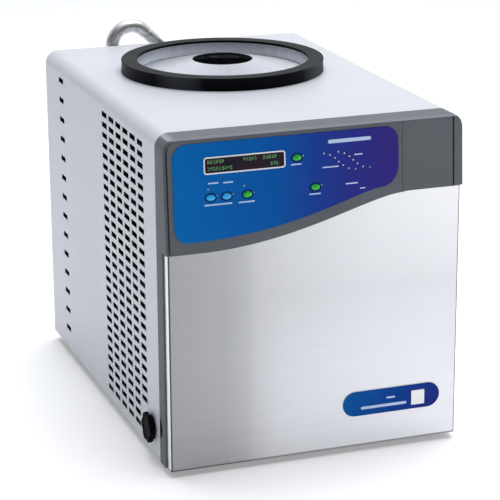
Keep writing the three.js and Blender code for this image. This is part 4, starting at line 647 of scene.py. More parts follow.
def woven_mesh():
    """Black screen cloth: the weave shows as a fine grid of relief and tone."""
    made = Finish("black screen cloth", Specular_IOR_Level=0.2)
    across, up = (made.node("TexWave", Vector=made.stretched((1, 1, 1), turn), Scale=420.0)
                  for turn in ((0, 0, math.pi / 2), (0, math.pi / 2, 0)))
    weave = made.sum(across.outputs["Fac"], up.outputs["Fac"], "MULTIPLY")
    made.colour(made.ramp(weave, (0.1, shade(8, 8, 9)), (0.8, shade(30, 30, 33))))
    made.rough(made.span(weave, 0.7, 0.45))
    return made.bump(weave, 0.0001, 0.8).material


def circuit_board():
    """Green solder mask with copper tracks showing through as paler lines."""
    made = Finish("circuit board", Coat_Weight=0.3, Coat_Roughness=0.2)
    tracks = made.node("TexBrick", Vector=made.stretched((1, 1, 1), (math.pi / 2, 0, 0)),
                       Scale=90.0)
    tracks.inputs["Color1"].default_value = shade(20, 92, 52)
    tracks.inputs["Color2"].default_value = shade(26, 104, 60)
    tracks.inputs["Mortar"].default_value = shade(70, 140, 84)
    tracks.inputs["Mortar Size"].default_value = 0.03
    made.colour(tracks.outputs["Color"])
    made.rough(made.span(made.noise(200, 3), 0.35, 0.55))
    return made.bump(tracks.outputs["Fac"], 0.00004, 0.5).material


BENCH_GLOW = 0.26


def floor_finish():
    """A pale bench that lights up a little by itself, so that its far end stays white."""
    made = Finish("pale bench", Specular_IOR_Level=0.1)
    drift = made.noise(1.2, 2)
    made.colour(made.ramp(drift, (0.3, shade(243, 244, 248)), (0.7, shade(247, 248, 251))))
    made.rough(made.span(made.noise(4, 2), 0.75, 0.9))
    made.glow(made.ramp(drift, (0.3, (0.98, 0.98, 1, 1)), (0.7, (1, 1, 1, 1))), BENCH_GLOW)
    return made.material


# The dark grey painted on the cover's inner faces as painted shade.
INSIDE_PAINTED_SHADE = shade(34, 35, 38)
# The grey of the highlight painted on the gasket ring's side.
HIGHLIGHT_GREY = shade(62, 64, 72)
TOP_LIGHT_REACH = 0.0036  # how far below the cover's top the hood's painted highlight reaches


def behind_skin(made):
    """One inside the sheet of the cover, nought on its outer skin."""
    corner = COVER_CORNER * MM
    off_middle = made.sum(made.sum(made.axis(0), MIDDLE_X, "SUBTRACT"), 0.0, "ABSOLUTE")
    reach = [made.sum(made.sum(along, limit - corner, "SUBTRACT"), 0.0, "MAXIMUM")
             for along, limit in ((off_middle, HALF * MM), (made.axis(2), cover_high.z))]
    squares = [made.sum(part, 2.0, "POWER") for part in reach]
    return made.sum(made.sum(*squares), (corner - SKIN) ** 2, "LESS_THAN")


WHITE = powder_coat("pale grey powder coat", shade(199, 202, 210), shade(193, 196, 204))
COVER_WHITE = powder_coat("pale grey cover coat", shade(199, 202, 210), shade(193, 196, 204),
                          behind_skin)
# The hood's front ridge, just below the cover's top, is painted lighter: a painted highlight.
GREY = moulded("grey textured moulding", shade(95, 100, 105), shade(88, 93, 98), (0.5, 0.62),
               gloss=0.2, top_painted_light=[(0.0, 0.0, shade(150, 155, 162)), (0.3, 1.0, shade(158, 163, 170)),
                                 (0.8, 1.0, shade(140, 145, 152)), (1.0, 1.0, shade(98, 103, 109))])
BLACK_PLASTIC = moulded("black moulding", shade(34, 35, 38), shade(22, 23, 25), (0.35, 0.5))
KNOB_PLASTIC = moulded("soft-touch black moulding", shade(15, 16, 18), shade(7, 8, 10),
                       (0.5, 0.65), gloss=0.03)
STAINLESS = brushed("brushed stainless panel", shade(240, 241, 241), shade(234, 235, 236),
                    (0.02, 1, 1), (0.4, 0.5), shading=panel_painted_reflection)
CHAMBER_STEEL = brushed("chamber steel in painted shade", shade(240, 243, 248), shade(214, 217, 224),
                        (1, 1, 6), (0.3, 0.46), shading=wall_painted_shade)
COIL_STEEL = bright_metal("coil tube", shade(120, 122, 128), shade(88, 90, 96), (0.34, 0.5))
SPUN_STAINLESS = brushed("spun stainless", shade(184, 187, 193), shade(170, 173, 180),
                         (1, 1, 6), (0.62, 0.74), shading=hole_painted_shade)
PIPE_STAINLESS = bright_metal("stainless tube", shade(200, 202, 206), shade(168, 170, 175))
GALVANISED = spangled("galvanised sheet", shade(160, 163, 168), shade(118, 121, 126))
# The base pan's sheet is darkened as painted shade.
SHADE_PAINTED_GALVANISED = spangled("galvanised sheet darkened as painted shade", shade(62, 63, 66), shade(40, 41, 44))
DULL_PIPE = dull_pipe()
GASKET_RUBBER = rubber("gasket rubber", shade(10, 14, 21), shade(3, 6, 12), (0.34, 0.5),
                       side_painted_highlights)
BLACK_RUBBER = rubber("black rubber", shade(30, 31, 34), shade(14, 15, 17))
BLACK_PAINT = powder_coat("black enamel", shade(38, 38, 42), shade(28, 28, 31))
OVERLAY = painted_film("overlay film", (
    (0.0, shade(0, 104, 180)), (0.42, shade(0, 86, 166)), (0.62, shade(22, 62, 150)),
    (0.8, shade(42, 44, 136)), (1.0, shade(46, 36, 124))), -0.16, 0.1)
OVERLAY_WELL = painted_film("overlay well", (
    (0.0, shade(4, 50, 110)), (1.0, shade(22, 26, 90))), -0.16, 0.1)
BADGE_FILM = painted_film("badge film", (
    (0.0, shade(0, 88, 166)), (0.35, shade(4, 62, 146)), (0.7, shade(30, 38, 124)),
    (1.0, shade(30, 28, 84))), 0.0, 0.19, lift=-0.6)
SMOKED = display_glass()
PALE_PLASTIC = moulded("pale moulding", shade(232, 234, 240), shade(222, 225, 233), (0.3, 0.42),
                       1200, 0.000015)
BRIGHT_PLASTIC = moulded("bright moulding", shade(250, 250, 252), shade(242, 243, 247), (0.3, 0.42),
                         900, 0.00002)
PALE_PRINT = moulded("pale print", shade(188, 208, 238), shade(172, 194, 230), (0.4, 0.5), 1600,
                     0.000008)
GREEN_CAP = glossy_cap("green button", shade(34, 190, 62), shade(18, 158, 48))
BLUE_CAP = glossy_cap("light-blue button", shade(40, 178, 240), shade(18, 150, 228))
BOARD = circuit_board()
COPPER = bright_metal("copper tube", shade(206, 132, 88), shade(160, 92, 60))
ALUMINIUM = bright_metal("aluminium fin", shade(188, 190, 193), shade(150, 153, 158))
DARK_FINS = bright_metal("shadowed fins", shade(84, 86, 90), shade(56, 58, 62), (0.4, 0.6))
BRASS = bright_metal("tarnished brass", shade(78, 68, 46), shade(52, 46, 34), (0.45, 0.6))
FOAM = foam()
LCD_GREEN = lit("lit characters", shade(120, 190, 110), shade(70, 130, 78), 0.35)
LAMP_PALE = lit("pale lamp", shade(204, 202, 190), shade(176, 174, 160), 0.2)
LAMP_GREEN = lit("green lamp", shade(110, 190, 150), shade(74, 150, 110), 0.25)
BLACK_MESH = woven_mesh()
PLATE_METAL = bright_metal("anodised plate", shade(188, 190, 194), shade(168, 170, 175),
                           (0.35, 0.5), 60)
STEEL_SCREW = bright_metal("plated screw", shade(186, 188, 192), shade(140, 143, 148), scale=400)


# ---------------------------------------------------------------- camera, floor and light

CAMERA_PLACE = (-0.8091, -2.3230, 0.9336)
CAMERA_SENSOR = 36
CAMERA_LENS = 147.6
CAMERA_ACROSS = math.radians(19.64)
CAMERA_DOWN = math.radians(17.12)
CAMERA_ROLL = math.radians(-0.32)


def set_camera():
    """A long lens from the front left, a little above the top of the dryer."""
    data = bpy.data.cameras.new("camera")
    data.sensor_width = CAMERA_SENSOR
    data.lens = CAMERA_LENS
    camera = bpy.data.objects.new("camera", data)
    camera.location = CAMERA_PLACE
    way = Vector((math.sin(CAMERA_ACROSS) * math.cos(CAMERA_DOWN),
                  math.cos(CAMERA_ACROSS) * math.cos(CAMERA_DOWN), -math.sin(CAMERA_DOWN)))
    facing = way.to_track_quat("-Z", "Y") @ Quaternion((0, 0, 1), CAMERA_ROLL)
    camera.rotation_euler = facing.to_euler()
    bpy.context.scene.collection.objects.link(camera)
    bpy.context.scene.camera = camera
    bpy.context.scene.view_settings.view_transform = "Standard"


def soft_lamp(name, place, aim, size, power):
    """A rectangular studio lamp that points at its aim."""
    data = bpy.data.lights.new(name, "AREA")
    data.shape = "RECTANGLE"
    data.size, data.size_y = size
    data.energy = power
    lamp = bpy.data.objects.new(name, data)
    lamp.location = place
    lamp.rotation_euler = (Vector(aim) - Vector(place)).to_track_quat("-Z", "Y").to_euler()
    bpy.context.scene.collection.objects.link(lamp)


SKY_COLOUR = (0.95, 0.97, 1.0, 1)
SKY_BEHIND = 0.9
SKY_BEFORE = 0.06
SKY_CHANGE = (-0.5, 0.45)  # where the level starts and ends to fall, from behind to before
BEFORE = Vector((-0.3, -0.95, 0))
BENCH_SIZE = 14
# Name: place, aim, size and power
LAMPS = {"overhead": ((0.5, 0.4, 3.0), (0, 0, 0), (2.6, 2.6), 78),
         "front strip": ((-0.1, -1.35, 2.6), (0, -0.26, 0.3), (2.2, 0.5), 10),
         "low right": ((0.62, -0.98, 0.22), (0.1, -0.26, 0.2), (0.35, 0.42), 1.6)}


def set_sky():
    """An open studio: pale behind and beside the dryer, dim on the side it is seen from."""
    world = bpy.data.worlds.new("studio")
    world.use_nodes = True
    tree = world.node_tree
    way = tree.nodes.new("ShaderNodeTexCoord").outputs["Generated"]
    facing = tree.nodes.new("ShaderNodeVectorMath")
    facing.operation = "DOT_PRODUCT"
    facing.inputs[1].default_value = BEFORE
    tree.links.new(way, facing.inputs[0])
    level = tree.nodes.new("ShaderNodeMapRange")
    level.interpolation_type = "SMOOTHSTEP"
    for socket, value in zip(("From Min", "From Max", "To Min", "To Max"),
                             (*SKY_CHANGE, SKY_BEHIND, SKY_BEFORE)):
        level.inputs[socket].default_value = value
    tree.links.new(facing.outputs["Value"], level.inputs["Value"])
    sky = tree.nodes["Background"]
    sky.inputs["Color"].default_value = SKY_COLOUR
    tree.links.new(level.outputs[0], sky.inputs["Strength"])
    bpy.context.scene.world = world


def set_stage():
    """A pale bench under soft lamps."""
    bm = bmesh.new()
    bmesh.ops.create_grid(bm, x_segments=1, y_segments=1, size=BENCH_SIZE)
    mesh = bpy.data.meshes.new("bench")
    bm.to_mesh(mesh)
    bm.free()
    mesh.materials.append(floor_finish())
    bench = bpy.data.objects.new("bench", mesh)
    bpy.context.scene.collection.objects.link(bench)
    set_sky()
    for name, (place, aim, size, power) in LAMPS.items():
        soft_lamp(name, place, aim, size, power)


# ---------------------------------------------------------------- cabinet

SHEET = 1.5
SLOT_LENGTH = 21.5
SLOT_HEIGHT = 6.6
SLOT_CORNER = 1.2
SLOT_TOP = TOP - 23.6
SLOT_ROW = 12.8
SLOT_ROWS = 28
SLOT_COLUMN = 29.0
SLOT_COLUMNS = 6
SLOT_FRONT = 57.0
REAR_SLOTS_Y = DEPTH - 77
REAR_SLOT_ROWS = 14
OUTLET_Y = DEPTH - 106
OUTLET_ROWS = 6
OUTLET_COLUMNS = 2
COLLECTOR = Vector((0, DEPTH - 190, 0))
CHAMBER_RADIUS = 106.4
MOUTH_RADIUS = CHAMBER_RADIUS + 1.8
GASKET_TOP = TOP + 15.5
KNOB = Vector((-HALF, 29, 41))
KNOB_CLEAR = 21.3
KNOB_HOLE = 6.4
PAST = 5  # how far a cutter reaches past what it cuts
CORNER_STEPS = 10


def slot_places(side):
    """Middles of the air slots in one side of the cover."""
    if side > 0:
        return [(OUTLET_Y - column * SLOT_COLUMN, SLOT_TOP - (SLOT_ROWS - 1 - row * 2) * SLOT_ROW)
                for column in range(OUTLET_COLUMNS) for row in range(OUTLET_ROWS)]
    places = [(SLOT_FRONT + column * SLOT_COLUMN, SLOT_TOP - row * SLOT_ROW)
              for column in range(SLOT_COLUMNS) for row in range(SLOT_ROWS)]
    places = [(y, z) for y, z in places
              if math.hypot(y - SLOT_LENGTH / 2 - KNOB.y, z - KNOB.z) > KNOB_CLEAR]
    return places + [(REAR_SLOTS_Y, SLOT_TOP - row * 2 * SLOT_ROW)
                     for row in range(REAR_SLOT_ROWS)]


def slot_punch(side):
    """All the punches for one side: bars with rounded corners across the sheet."""
    half_long, half_high = SLOT_LENGTH / 2, SLOT_HEIGHT / 2
    bm = block((-2 * SHEET, -half_long, -half_high), (2 * SHEET, half_long, half_high))
    eased(bm, runs_along(0), SLOT_CORNER, 3)
    first = bm.verts[:] + bm.edges[:] + bm.faces[:]
    home, *others = slot_places(side)
    for y, z in others:
        copy = bmesh.ops.duplicate(bm, geom=first)["geom"]
        bmesh.ops.translate(bm, verts=verts_of(copy), vec=(0, y - home[0], z - home[1]))
    return moved(bm, (side * HALF, *home))


def cover_outline(half, bottom, top, corner):
    """A flat arch with rounded shoulders, the shape of the cover seen from the front."""
    return outline([(-half, bottom), (half, bottom), (half, top, corner), (-half, top, corner)],
                   CORNER_STEPS)


def drum(radius, low, high, steps):
    """A plain round cutter between two heights."""
    return turned([(0, low), (radius, low), (radius, high), (0, high)], steps)


def cover_sheet():
    body = deepened(cover_outline(HALF, BOTTOM, TOP, COVER_CORNER), 0, DEPTH)
    hollow = deepened(cover_outline(HALF - SHEET, BOTTOM - 2 * PAST, TOP - SHEET,
                                    COVER_CORNER - SHEET), -PAST, DEPTH + PAST)
    mouth = drum(MOUTH_RADIUS, TOP - 2 * PAST, TOP + 2 * PAST, 96)
    neck = moved(drum(KNOB_HOLE, -PAST, PAST, 24), KNOB, ALONG_X)
    shell = carved(body, hollow)
    sheet = carved(shell, moved(mouth, COLLECTOR), neck, slot_punch(-1), slot_punch(1))
    return piece("cover_sheet", sheet, COVER_WHITE, ["cabinet_cover"])


MESH_NEAR = 0.1
MESH_FAR = 0.6
MESH_EASE = 0.15
OUTLET_SCREEN_LOW = 33


def outlet_screen():
    """A fine black mesh against the sheet behind the air outlet."""
    inside = HALF - SHEET
    rear, front = OUTLET_Y + SLOT_LENGTH, OUTLET_Y - SLOT_COLUMN - SLOT_LENGTH
    top = SLOT_TOP - (SLOT_ROWS - 1 - 2 * OUTLET_ROWS) * SLOT_ROW
    mesh = block((inside - MESH_FAR, front, OUTLET_SCREEN_LOW), (inside - MESH_NEAR, rear, top),
                 MESH_EASE)
    return piece("outlet_screen", mesh, BLACK_MESH)


LOUVRE_LEFT = -HALF + 44
LOUVRE_LENGTH = 60.0
LOUVRE_LOW = 60.0
LOUVRE_PITCH = 13.0
LOUVRE_ROWS = 7
LOUVRE_SIDE = 6
LOUVRE_BELOW = 8
REAR_FACE = DEPTH - 1
REAR_SCREWS = [(-HALF + 14, 20), (HALF - 14, 20), (-HALF + 14, 200), (HALF - 14, 200),
               (-HALF + 22, TOP - 20), (HALF - 22, TOP - 20)]
PLATE_LOW = (HALF - 128, 100)
PLATE_HIGH = (HALF - 54, 138)
PLATE_THICK = 0.4
PLATE_ROWS = 4
PLATE_PITCH = 6.2
PLATE_MARGIN = 5
SCREW_RADIUS = 3.2
SCREW_HIGH = 2.0
RECESS_HALF = 0.45


def louvre_screen():
    """Black mesh against the inside of the rear louvres."""
    inner = REAR_FACE - SHEET
    left, right = LOUVRE_LEFT - LOUVRE_SIDE, LOUVRE_LEFT + LOUVRE_LENGTH + LOUVRE_SIDE
    low, high = LOUVRE_LOW - LOUVRE_BELOW, LOUVRE_LOW + LOUVRE_PITCH * LOUVRE_ROWS
    mesh = block((left, inner - MESH_FAR, low), (right, inner - MESH_NEAR, high), MESH_EASE)
    return piece("louvre_screen", mesh, BLACK_MESH)


def pan_screw():
    """A domed screw head with a cross recess, drawn round Z."""
    head = turned([(0, 0), (SCREW_RADIUS, 0, 0.2), (SCREW_RADIUS, SCREW_HIGH * 0.45, 0.6),
                   (SCREW_RADIUS * 0.5, SCREW_HIGH, 0.8), (0, SCREW_HIGH)], 28, 4)
    arm, floor, above = SCREW_RADIUS * 0.62, SCREW_HIGH * 0.5, SCREW_HIGH + 1
    bars = [block((-arm, -RECESS_HALF, floor), (arm, RECESS_HALF, above)),
            block((-RECESS_HALF, -arm, floor), (RECESS_HALF, arm, above))]
    return carved(carved(head, bars[0]), bars[1])


def rear_fixings():
    """The cover's screws, and a plain plate with bars where such a plate carries its rows."""
    heads = [moved(pan_screw(), (x, REAR_FACE, z), AGAINST_Y) for x, z in REAR_SCREWS]
    piece("rear_screws", together(*heads), STEEL_SCREW, level=False)
    (left, low), (right, high) = PLATE_LOW, PLATE_HIGH
    outer = REAR_FACE + PLATE_THICK
    plate = deepened(rectangle(left, right, low, high, 3.0, 6), outer, REAR_FACE)
    eased(plate, lies_at(1, outer), 0.15, 2)
    piece("rating_plate", plate, PLATE_METAL)
    rows = [(left + PLATE_MARGIN, right - PLATE_MARGIN - 11 * (i % 2), high - 7 - PLATE_PITCH * i)
            for i in range(PLATE_ROWS)]
    bars = [deepened(rectangle(start, end, z - 1.1, z + 1.1, 1.0, 4), outer + 0.06, outer - 0.02)
            for start, end, z in rows]
    piece("rating_plate_bars", together(*bars), BLACK_PLASTIC, level=False)


def foot(name, node):
    """A rubber foot, a little narrower at its top than where it stands."""
    low, high = box_mm(node)
    radius = (high.x - low.x) / 2
    middle = (low + high) / 2
    bm = turned([(0, 0), (radius, 0, 1.2), (radius - 1.5, high.z, 0.6), (0, high.z)], 40)
    return piece(name, moved(bm, (middle.x, middle.y, 0)), BLACK_RUBBER, [node])


# ---------------------------------------------------------------- front frame and controls

FRAME_WALL = 3.0
FRAME_DEPTH = 21.0
FRAME_BOTTOM = 8.5
POCKET_DEPTH = 3.4
LEDGE = 2.5
LEDGE_REACH = 8.0
GROOVE = 2.0
GROOVE_ABOVE = 0.6
CAP_SEAM_DEPTH = 1.2
FRONT_EASE = 2.4
BEHIND_COVER = 0.04  # how far the frame's surround lies inside the cover's outline
NOTCH_RADIUS = 14
NOTCH = (4.6, 50.5)
FASCIA_LEFT = -HALF + 4.4
FASCIA_RIGHT = HALF - 13
FASCIA_TOP_GAP = 4.0
FASCIA_BACK = 2.9
FASCIA_FACE = 0.3
SWOOSH_LOW = TOP - 130.7
SWOOSH_HIGH = TOP - 84
SWOOSH_START = -HALF + 38
SWOOSH_END = HALF - 66
SWOOSH_PULL = (121.0, 51.0)
SWOOSH_STEPS = 40
SEAM_X = 103.5
SEAM_HALF = 0.35
SEAM_DEPTH = 0.55


def swoosh(left, right, drop=0.0, height=lambda z: z):
    """The fascia's lower edge from right to left."""
    low, high = height(SWOOSH_LOW) + drop, height(SWOOSH_HIGH) + drop
    curve = interpolate_bezier((SWOOSH_START, low), (SWOOSH_START + SWOOSH_PULL[0], low),
                               (SWOOSH_END - SWOOSH_PULL[1], high), (SWOOSH_END, high),
                               SWOOSH_STEPS)
    return [(right, high)] + [(p.x, p.y) for p in reversed(curve)] + [(left, low)]


def hood_outline(wall):
    """The hood seen from the front, or its inner outline a wall further in."""
    half, top, corner = HALF - wall, TOP - wall, COVER_CORNER - wall
    return outline([(-half, top, corner), (half, top, corner)] + swoosh(-half, half, wall),
                   CORNER_STEPS)


def fascia_outline(margin, drop, height=lambda z: z, above=None):
    """The fascia's outline with a margin round it; height turns heights to those on the face."""
    left, right = FASCIA_LEFT - margin, FASCIA_RIGHT + margin
    top = height(TOP - FASCIA_TOP_GAP) + (margin if above is None else above)
    corner = max(COVER_CORNER - FASCIA_TOP_GAP + margin, 1)
    return outline([(left, top, corner), (right, top)] + swoosh(left, right, drop, height),
                   CORNER_STEPS)


def cap_seam(front):
    """The cutter for the seam that runs over the hood's top at the fascia's right end."""
    past_corner = FASCIA_RIGHT + GROOVE - (HALF - COVER_CORNER)
    fallen = COVER_CORNER - math.sqrt(COVER_CORNER ** 2 - max(past_corner, 0) ** 2)
    return block((FASCIA_RIGHT + 0.2, front - PAST, TOP - fallen - CAP_SEAM_DEPTH),
                 (FASCIA_RIGHT + GROOVE, PAST, TOP + PAST))


def leaning_hood():
    """The hood with its pocket for the fascia, drawn upright and then leant back."""
    front = -HOOD_DEPTH
    floor = front + POCKET_DEPTH
    hood = deepened(hood_outline(0), -PAST, front)
    eased(hood, lies_at(1, front), FRONT_EASE, 5)
    pocket = deepened(fascia_outline(GROOVE, -GROOVE, above=GROOVE_ABOVE), front - PAST, floor)
    window = deepened(fascia_outline(-LEDGE_REACH, LEDGE_REACH), floor - 1, floor + LEDGE + 1)
    cavity = deepened(hood_outline(FRAME_WALL), floor + LEDGE, PAST)
    for cutter in (pocket, window, cavity, cap_seam(front)):
        hood = carved(hood, cutter)
    bmesh.ops.transform(hood, matrix=LEAN, verts=hood.verts)
    return hood


def surround():
    """The two columns and the bottom rail, with the finger notch beside the knob."""
    outer = deepened(cover_outline(HALF - BEHIND_COVER, FRAME_BOTTOM, TOP - BEHIND_COVER,
                                   COVER_CORNER), 0, -FRAME_DEPTH)
    eased(outer, lies_at(1, -FRAME_DEPTH), FRONT_EASE / 2, 3)
    inner = deepened(cover_outline(HALF - FRAME_WALL, FRAME_BOTTOM + FRAME_WALL, TOP - FRAME_WALL,
                                   COVER_CORNER - FRAME_WALL), PAST, -FRAME_DEPTH - PAST)
    notch = moved(drum(NOTCH_RADIUS, -8, 8, 48), (-HALF, *NOTCH), ALONG_X)
    return carved(carved(outer, inner), notch)


def front_moulding():
    return piece("front_moulding", together(leaning_hood(), surround()), GREY,
                 ["front_frame"])


OVERLAY_LEFT = FASCIA_LEFT + 5.6
OVERLAY_RIGHT = FASCIA_RIGHT - 67.5
OVERLAY_CORNER = 17
OVERLAY_BELOW_TOP = 6.5
OVERLAY_ABOVE_SWOOSH = 13
OVERLAY_FACE = -0.45
DISPLAY = Vector((OVERLAY_LEFT + 83.4, 0, on_face(TOP - 33.4)))
DISPLAY_HALF = (95.5 / 2, 19.4 / 2)
BUTTON_HALF = (5.3, 3.6)
BUTTON_GAP = 0.3
# Name: how far in from the overlay's left, how far below the cover's top, finish and slot
BUTTONS = {"menu_button": (145.0, 33.5, GREEN_CAP, "green_button"),
           "select_button": (166.4, 68.8, GREEN_CAP, "green_button"),
           "vacuum_button": (85.9, 69.2, GREEN_CAP, "green_button"),
           "auto_button": (43.0, 69.0, BLUE_CAP, "blue_button"),
           "manual_button": (61.7, 69.1, BLUE_CAP, "blue_button")}


def button_place(name):
    inward, down, _, _ = BUTTONS[name]
    return OVERLAY_LEFT + inward, on_face(TOP - down)


def display_rectangle(margin, corner):
    wide, high = DISPLAY_HALF[0] + margin, DISPLAY_HALF[1] + margin
    return rectangle(DISPLAY.x - wide, DISPLAY.x + wide, DISPLAY.z - high, DISPLAY.z + high,
                     corner, 6)


def face_holes():
    """Cutters for the display and the buttons, right through the fascia and its film."""
    cutters = [deepened(display_rectangle(-1.2, 2.0), -2, PAST)]
    for name in BUTTONS:
        x, z = button_place(name)
        hole = oval(x, z, *(half + BUTTON_GAP for half in BUTTON_HALF))
        cutters.append(deepened(hole, -2, PAST))
    return cutters


def fascia_plate():
    plate = deepened(fascia_outline(0, 0, on_face, GROOVE_ABOVE - 0.1), FASCIA_BACK, FASCIA_FACE)
    eased(plate, lies_at(1, FASCIA_FACE), 0.5, 3)
    seam = block((SEAM_X - SEAM_HALF, -1, on_face(SWOOSH_HIGH) - PAST),
                 (SEAM_X + SEAM_HALF, FASCIA_FACE + SEAM_DEPTH, PAST))
    plate = carved(plate, *face_holes(), seam)
    return piece("fascia_plate", plate, GREY, ["control_fascia"], matrix=ON_FACE)


def overlay_outline():
    """The blue film: three round corners, and a swelling curve up to its right edge."""
    left, right = OVERLAY_LEFT, OVERLAY_RIGHT
    top = on_face(FACE_TOP - OVERLAY_BELOW_TOP)
    low = on_face(SWOOSH_LOW) + OVERLAY_ABOVE_SWOOSH
    high = on_face(SWOOSH_HIGH) + OVERLAY_ABOVE_SWOOSH
    rise = SWOOSH_END - right
    turning = (right - OVERLAY_CORNER, high - rise * 0.35)
    curve = interpolate_bezier((left + OVERLAY_CORNER, low), (SWOOSH_START + SWOOSH_PULL[0], low),
                               (SWOOSH_END - SWOOSH_PULL[1] - rise, high - rise * 0.4), turning,
                               36)
    swell = interpolate_bezier(turning, (right - 9, high - 2.6), (right, high + 5.0),
                               (right, high + 19), 16)
    points = [(p.x, p.y) for p in curve[1:] + swell[1:]]
    return outline([(left, low, OVERLAY_CORNER), *points, (right, top, OVERLAY_CORNER),
                    (left, top, OVERLAY_CORNER)], 12)


def control_film():
    film = deepened(overlay_outline(), 0.15, OVERLAY_FACE)
    eased(film, lies_at(1, OVERLAY_FACE), 0.2, 2)
    film = carved(film, *face_holes())
    return piece("control_film", film, OVERLAY, ["control_overlay"],
                 matrix=ON_FACE)


BEZEL_FACE = -1.2
WINDOW_FACE = -0.3


def display_parts():
    """A narrow pale bezel round a smoked window."""
    bezel = deepened(display_rectangle(0, 3.4), -0.4, BEZEL_FACE)
    eased(bezel, lies_at(1, BEZEL_FACE), 0.35, 3)
    opening = deepened(display_rectangle(-1.5, 2.2), -3, 3)
    piece("display_surround", carved(bezel, opening), PALE_PLASTIC,
          ["display_bezel"], matrix=ON_FACE)
    window = deepened(display_rectangle(-1.6, 2.1), FASCIA_BACK, WINDOW_FACE)
    eased(window, lies_at(1, WINDOW_FACE), 0.2, 2)
    piece("display_window", window, SMOKED, ["display_screen"], matrix=ON_FACE)


DOT = 0.42
DOT_STEP = 0.6
CELL_PITCH = 3.3
CELL_DOTS = (4, 7)
LIT_SHARE = 0.55
# Runs of cells: left and top, from the middle of the display, and how many cells
CELL_RUNS = [(-43, 5.9, 6), (-1.5, 5.9, 5), (22, 5.9, 5), (-43, -1.8, 9), (30.5, -1.8, 3)]


def character_rows():
    """Lit dots on the display: two rows of cells, their dots lit at random."""
    chance = random.Random(7)
    places = [(x + cell * CELL_PITCH + across * DOT_STEP, z - down * DOT_STEP)
              for x, z, count in CELL_RUNS for cell in range(count)
              for across in range(CELL_DOTS[0]) for down in range(CELL_DOTS[1])]
    dots = []
    for x, z in places:
        if chance.random() <= LIT_SHARE:
            left, top = DISPLAY.x + x, DISPLAY.z + z
            dots.append(deepened(rectangle(left, left + DOT, top - DOT, top), WINDOW_FACE,
                                 WINDOW_FACE - 0.06))
    return piece("display_cells", together(*dots), LCD_GREEN, matrix=ON_FACE,
                 level=False)


def push_button(name):
    """A domed oval cap; its flange stays behind the fascia."""
    _, _, finish, slot = BUTTONS[name]
    x, z = button_place(name)
    wide = BUTTON_HALF[0]
    flange = wide + 1.2
    profile = [(0, -4.6), (flange, -4.6, 0.2), (flange, -3.2, 0.2), (wide, -3.2),
               (wide, 0.9, 0.7), (wide * 0.55, 1.72, 1.2), (0, 1.8)]
    bm = turned(profile, 48, 5)
    bmesh.ops.transform(bm, matrix=ALONG_Y, verts=bm.verts)
    bmesh.ops.scale(bm, verts=bm.verts, vec=(1, 1, BUTTON_HALF[1] / wide))
    return piece(name + "_cap", moved(bm, (x, 0, z)), finish, [name], name,
                 ON_FACE, smooth=50)


GLINT_OFFSET = Vector((7.0, -0.5, 1.7))
GLINT_RADIUS = 0.7
WELL_SQUASH = 0.72


def button_glints():
    """A small pale raised dot beside each button: a painted glint."""
    glints = []
    for name in BUTTONS:
        x, z = button_place(name)
        glint = bmesh.new()
        bmesh.ops.create_uvsphere(glint, u_segments=14, v_segments=8, radius=GLINT_RADIUS)
        glints.append(moved(glint, GLINT_OFFSET + Vector((x, 0, z))))
    return piece("button_glints", together(*glints), PALE_PLASTIC, matrix=ON_FACE,
                 level=False)


def button_wells():
    """A raised dark lip in the film round each button."""
    rims = []
    for name in BUTTONS:
        x, z = button_place(name)
        rim = turned([(6.0, -0.1), (6.9, -0.1), (7.3, 0.35, 0.2), (6.9, 0.75, 0.25),
                      (6.2, 0.75, 0.25), (5.75, 0.3, 0.1)], 48, 3)
        bmesh.ops.transform(rim, matrix=ALONG_Y, verts=rim.verts)
        bmesh.ops.scale(rim, verts=rim.verts, vec=(1, 1, WELL_SQUASH))
        rims.append(moved(rim, (x, -0.4, z)))
    return piece("button_wells", together(*rims), OVERLAY_WELL, matrix=ON_FACE,
                 smooth=60)


LAMP_CURVE = [(8.0, 356.3), (15.2, 354.1), (21.2, 350.2), (25.7, 345.5), (31.0, 341.0),
              (37.6, 336.9), (46.0, 335.5)]
LAMP_SHIFT = 17.4
LAMP_RISE = 0.4
LAMP_RADIUS = 0.95
SINGLE_LAMPS = [(-128.8, 328.6), (-86.7, 328.8)]
SINGLE_RADIUS = 0.7
PRINT_RISE = 8  # how far the lamps and the print lie above the heights in their lists


def lamp(x, z, radius=LAMP_RADIUS):
    bm = bmesh.new()
    bmesh.ops.create_uvsphere(bm, u_segments=16, v_segments=8, radius=radius)
    bmesh.ops.scale(bm, verts=bm.verts, vec=(1, 0.55, 1))
    return moved(bm, (x, OVERLAY_FACE, on_face(z + PRINT_RISE)))


def lamps():
    """Two falling curves of small level lamps, and one lamp over each of two functions."""
    first = [lamp(x, z) for x, z in LAMP_CURVE]
    second = [lamp(x + LAMP_SHIFT, z + LAMP_RISE) for x, z in LAMP_CURVE]
    green = [first.pop(), second.pop()]
    single = [lamp(x, z, SINGLE_RADIUS) for x, z in SINGLE_LAMPS]
    piece("level_lamps", together(*first, *second, *single), LAMP_PALE,
          matrix=ON_FACE, level=False)
    piece("ready_lamps", together(*green), LAMP_GREEN, matrix=ON_FACE,
          level=False)


# Plain bars in place of printed words: left, right, middle height, height
PRINT_BARS = [(-128.7, -116.5, 335.0, 1.6), (-111.3, -99.6, 334.4, 1.6),
              (-133.6, -101.2, 310.8, 1.7), (-94.0, -75.0, 310.5, 1.7), (-31.4, -18.6, 347.0, 1.6),
              (-10.4, 3.6, 311.5, 1.6), (6.0, 25.6, 340.4, 1.5), (44.6, 54.6, 351.8, 1.4),
              (33.5, 48.4, 319.4, 1.5), (50.8, 57.4, 312.8, 1.2), (13.2, 65.0, 369.0, 4.2)]


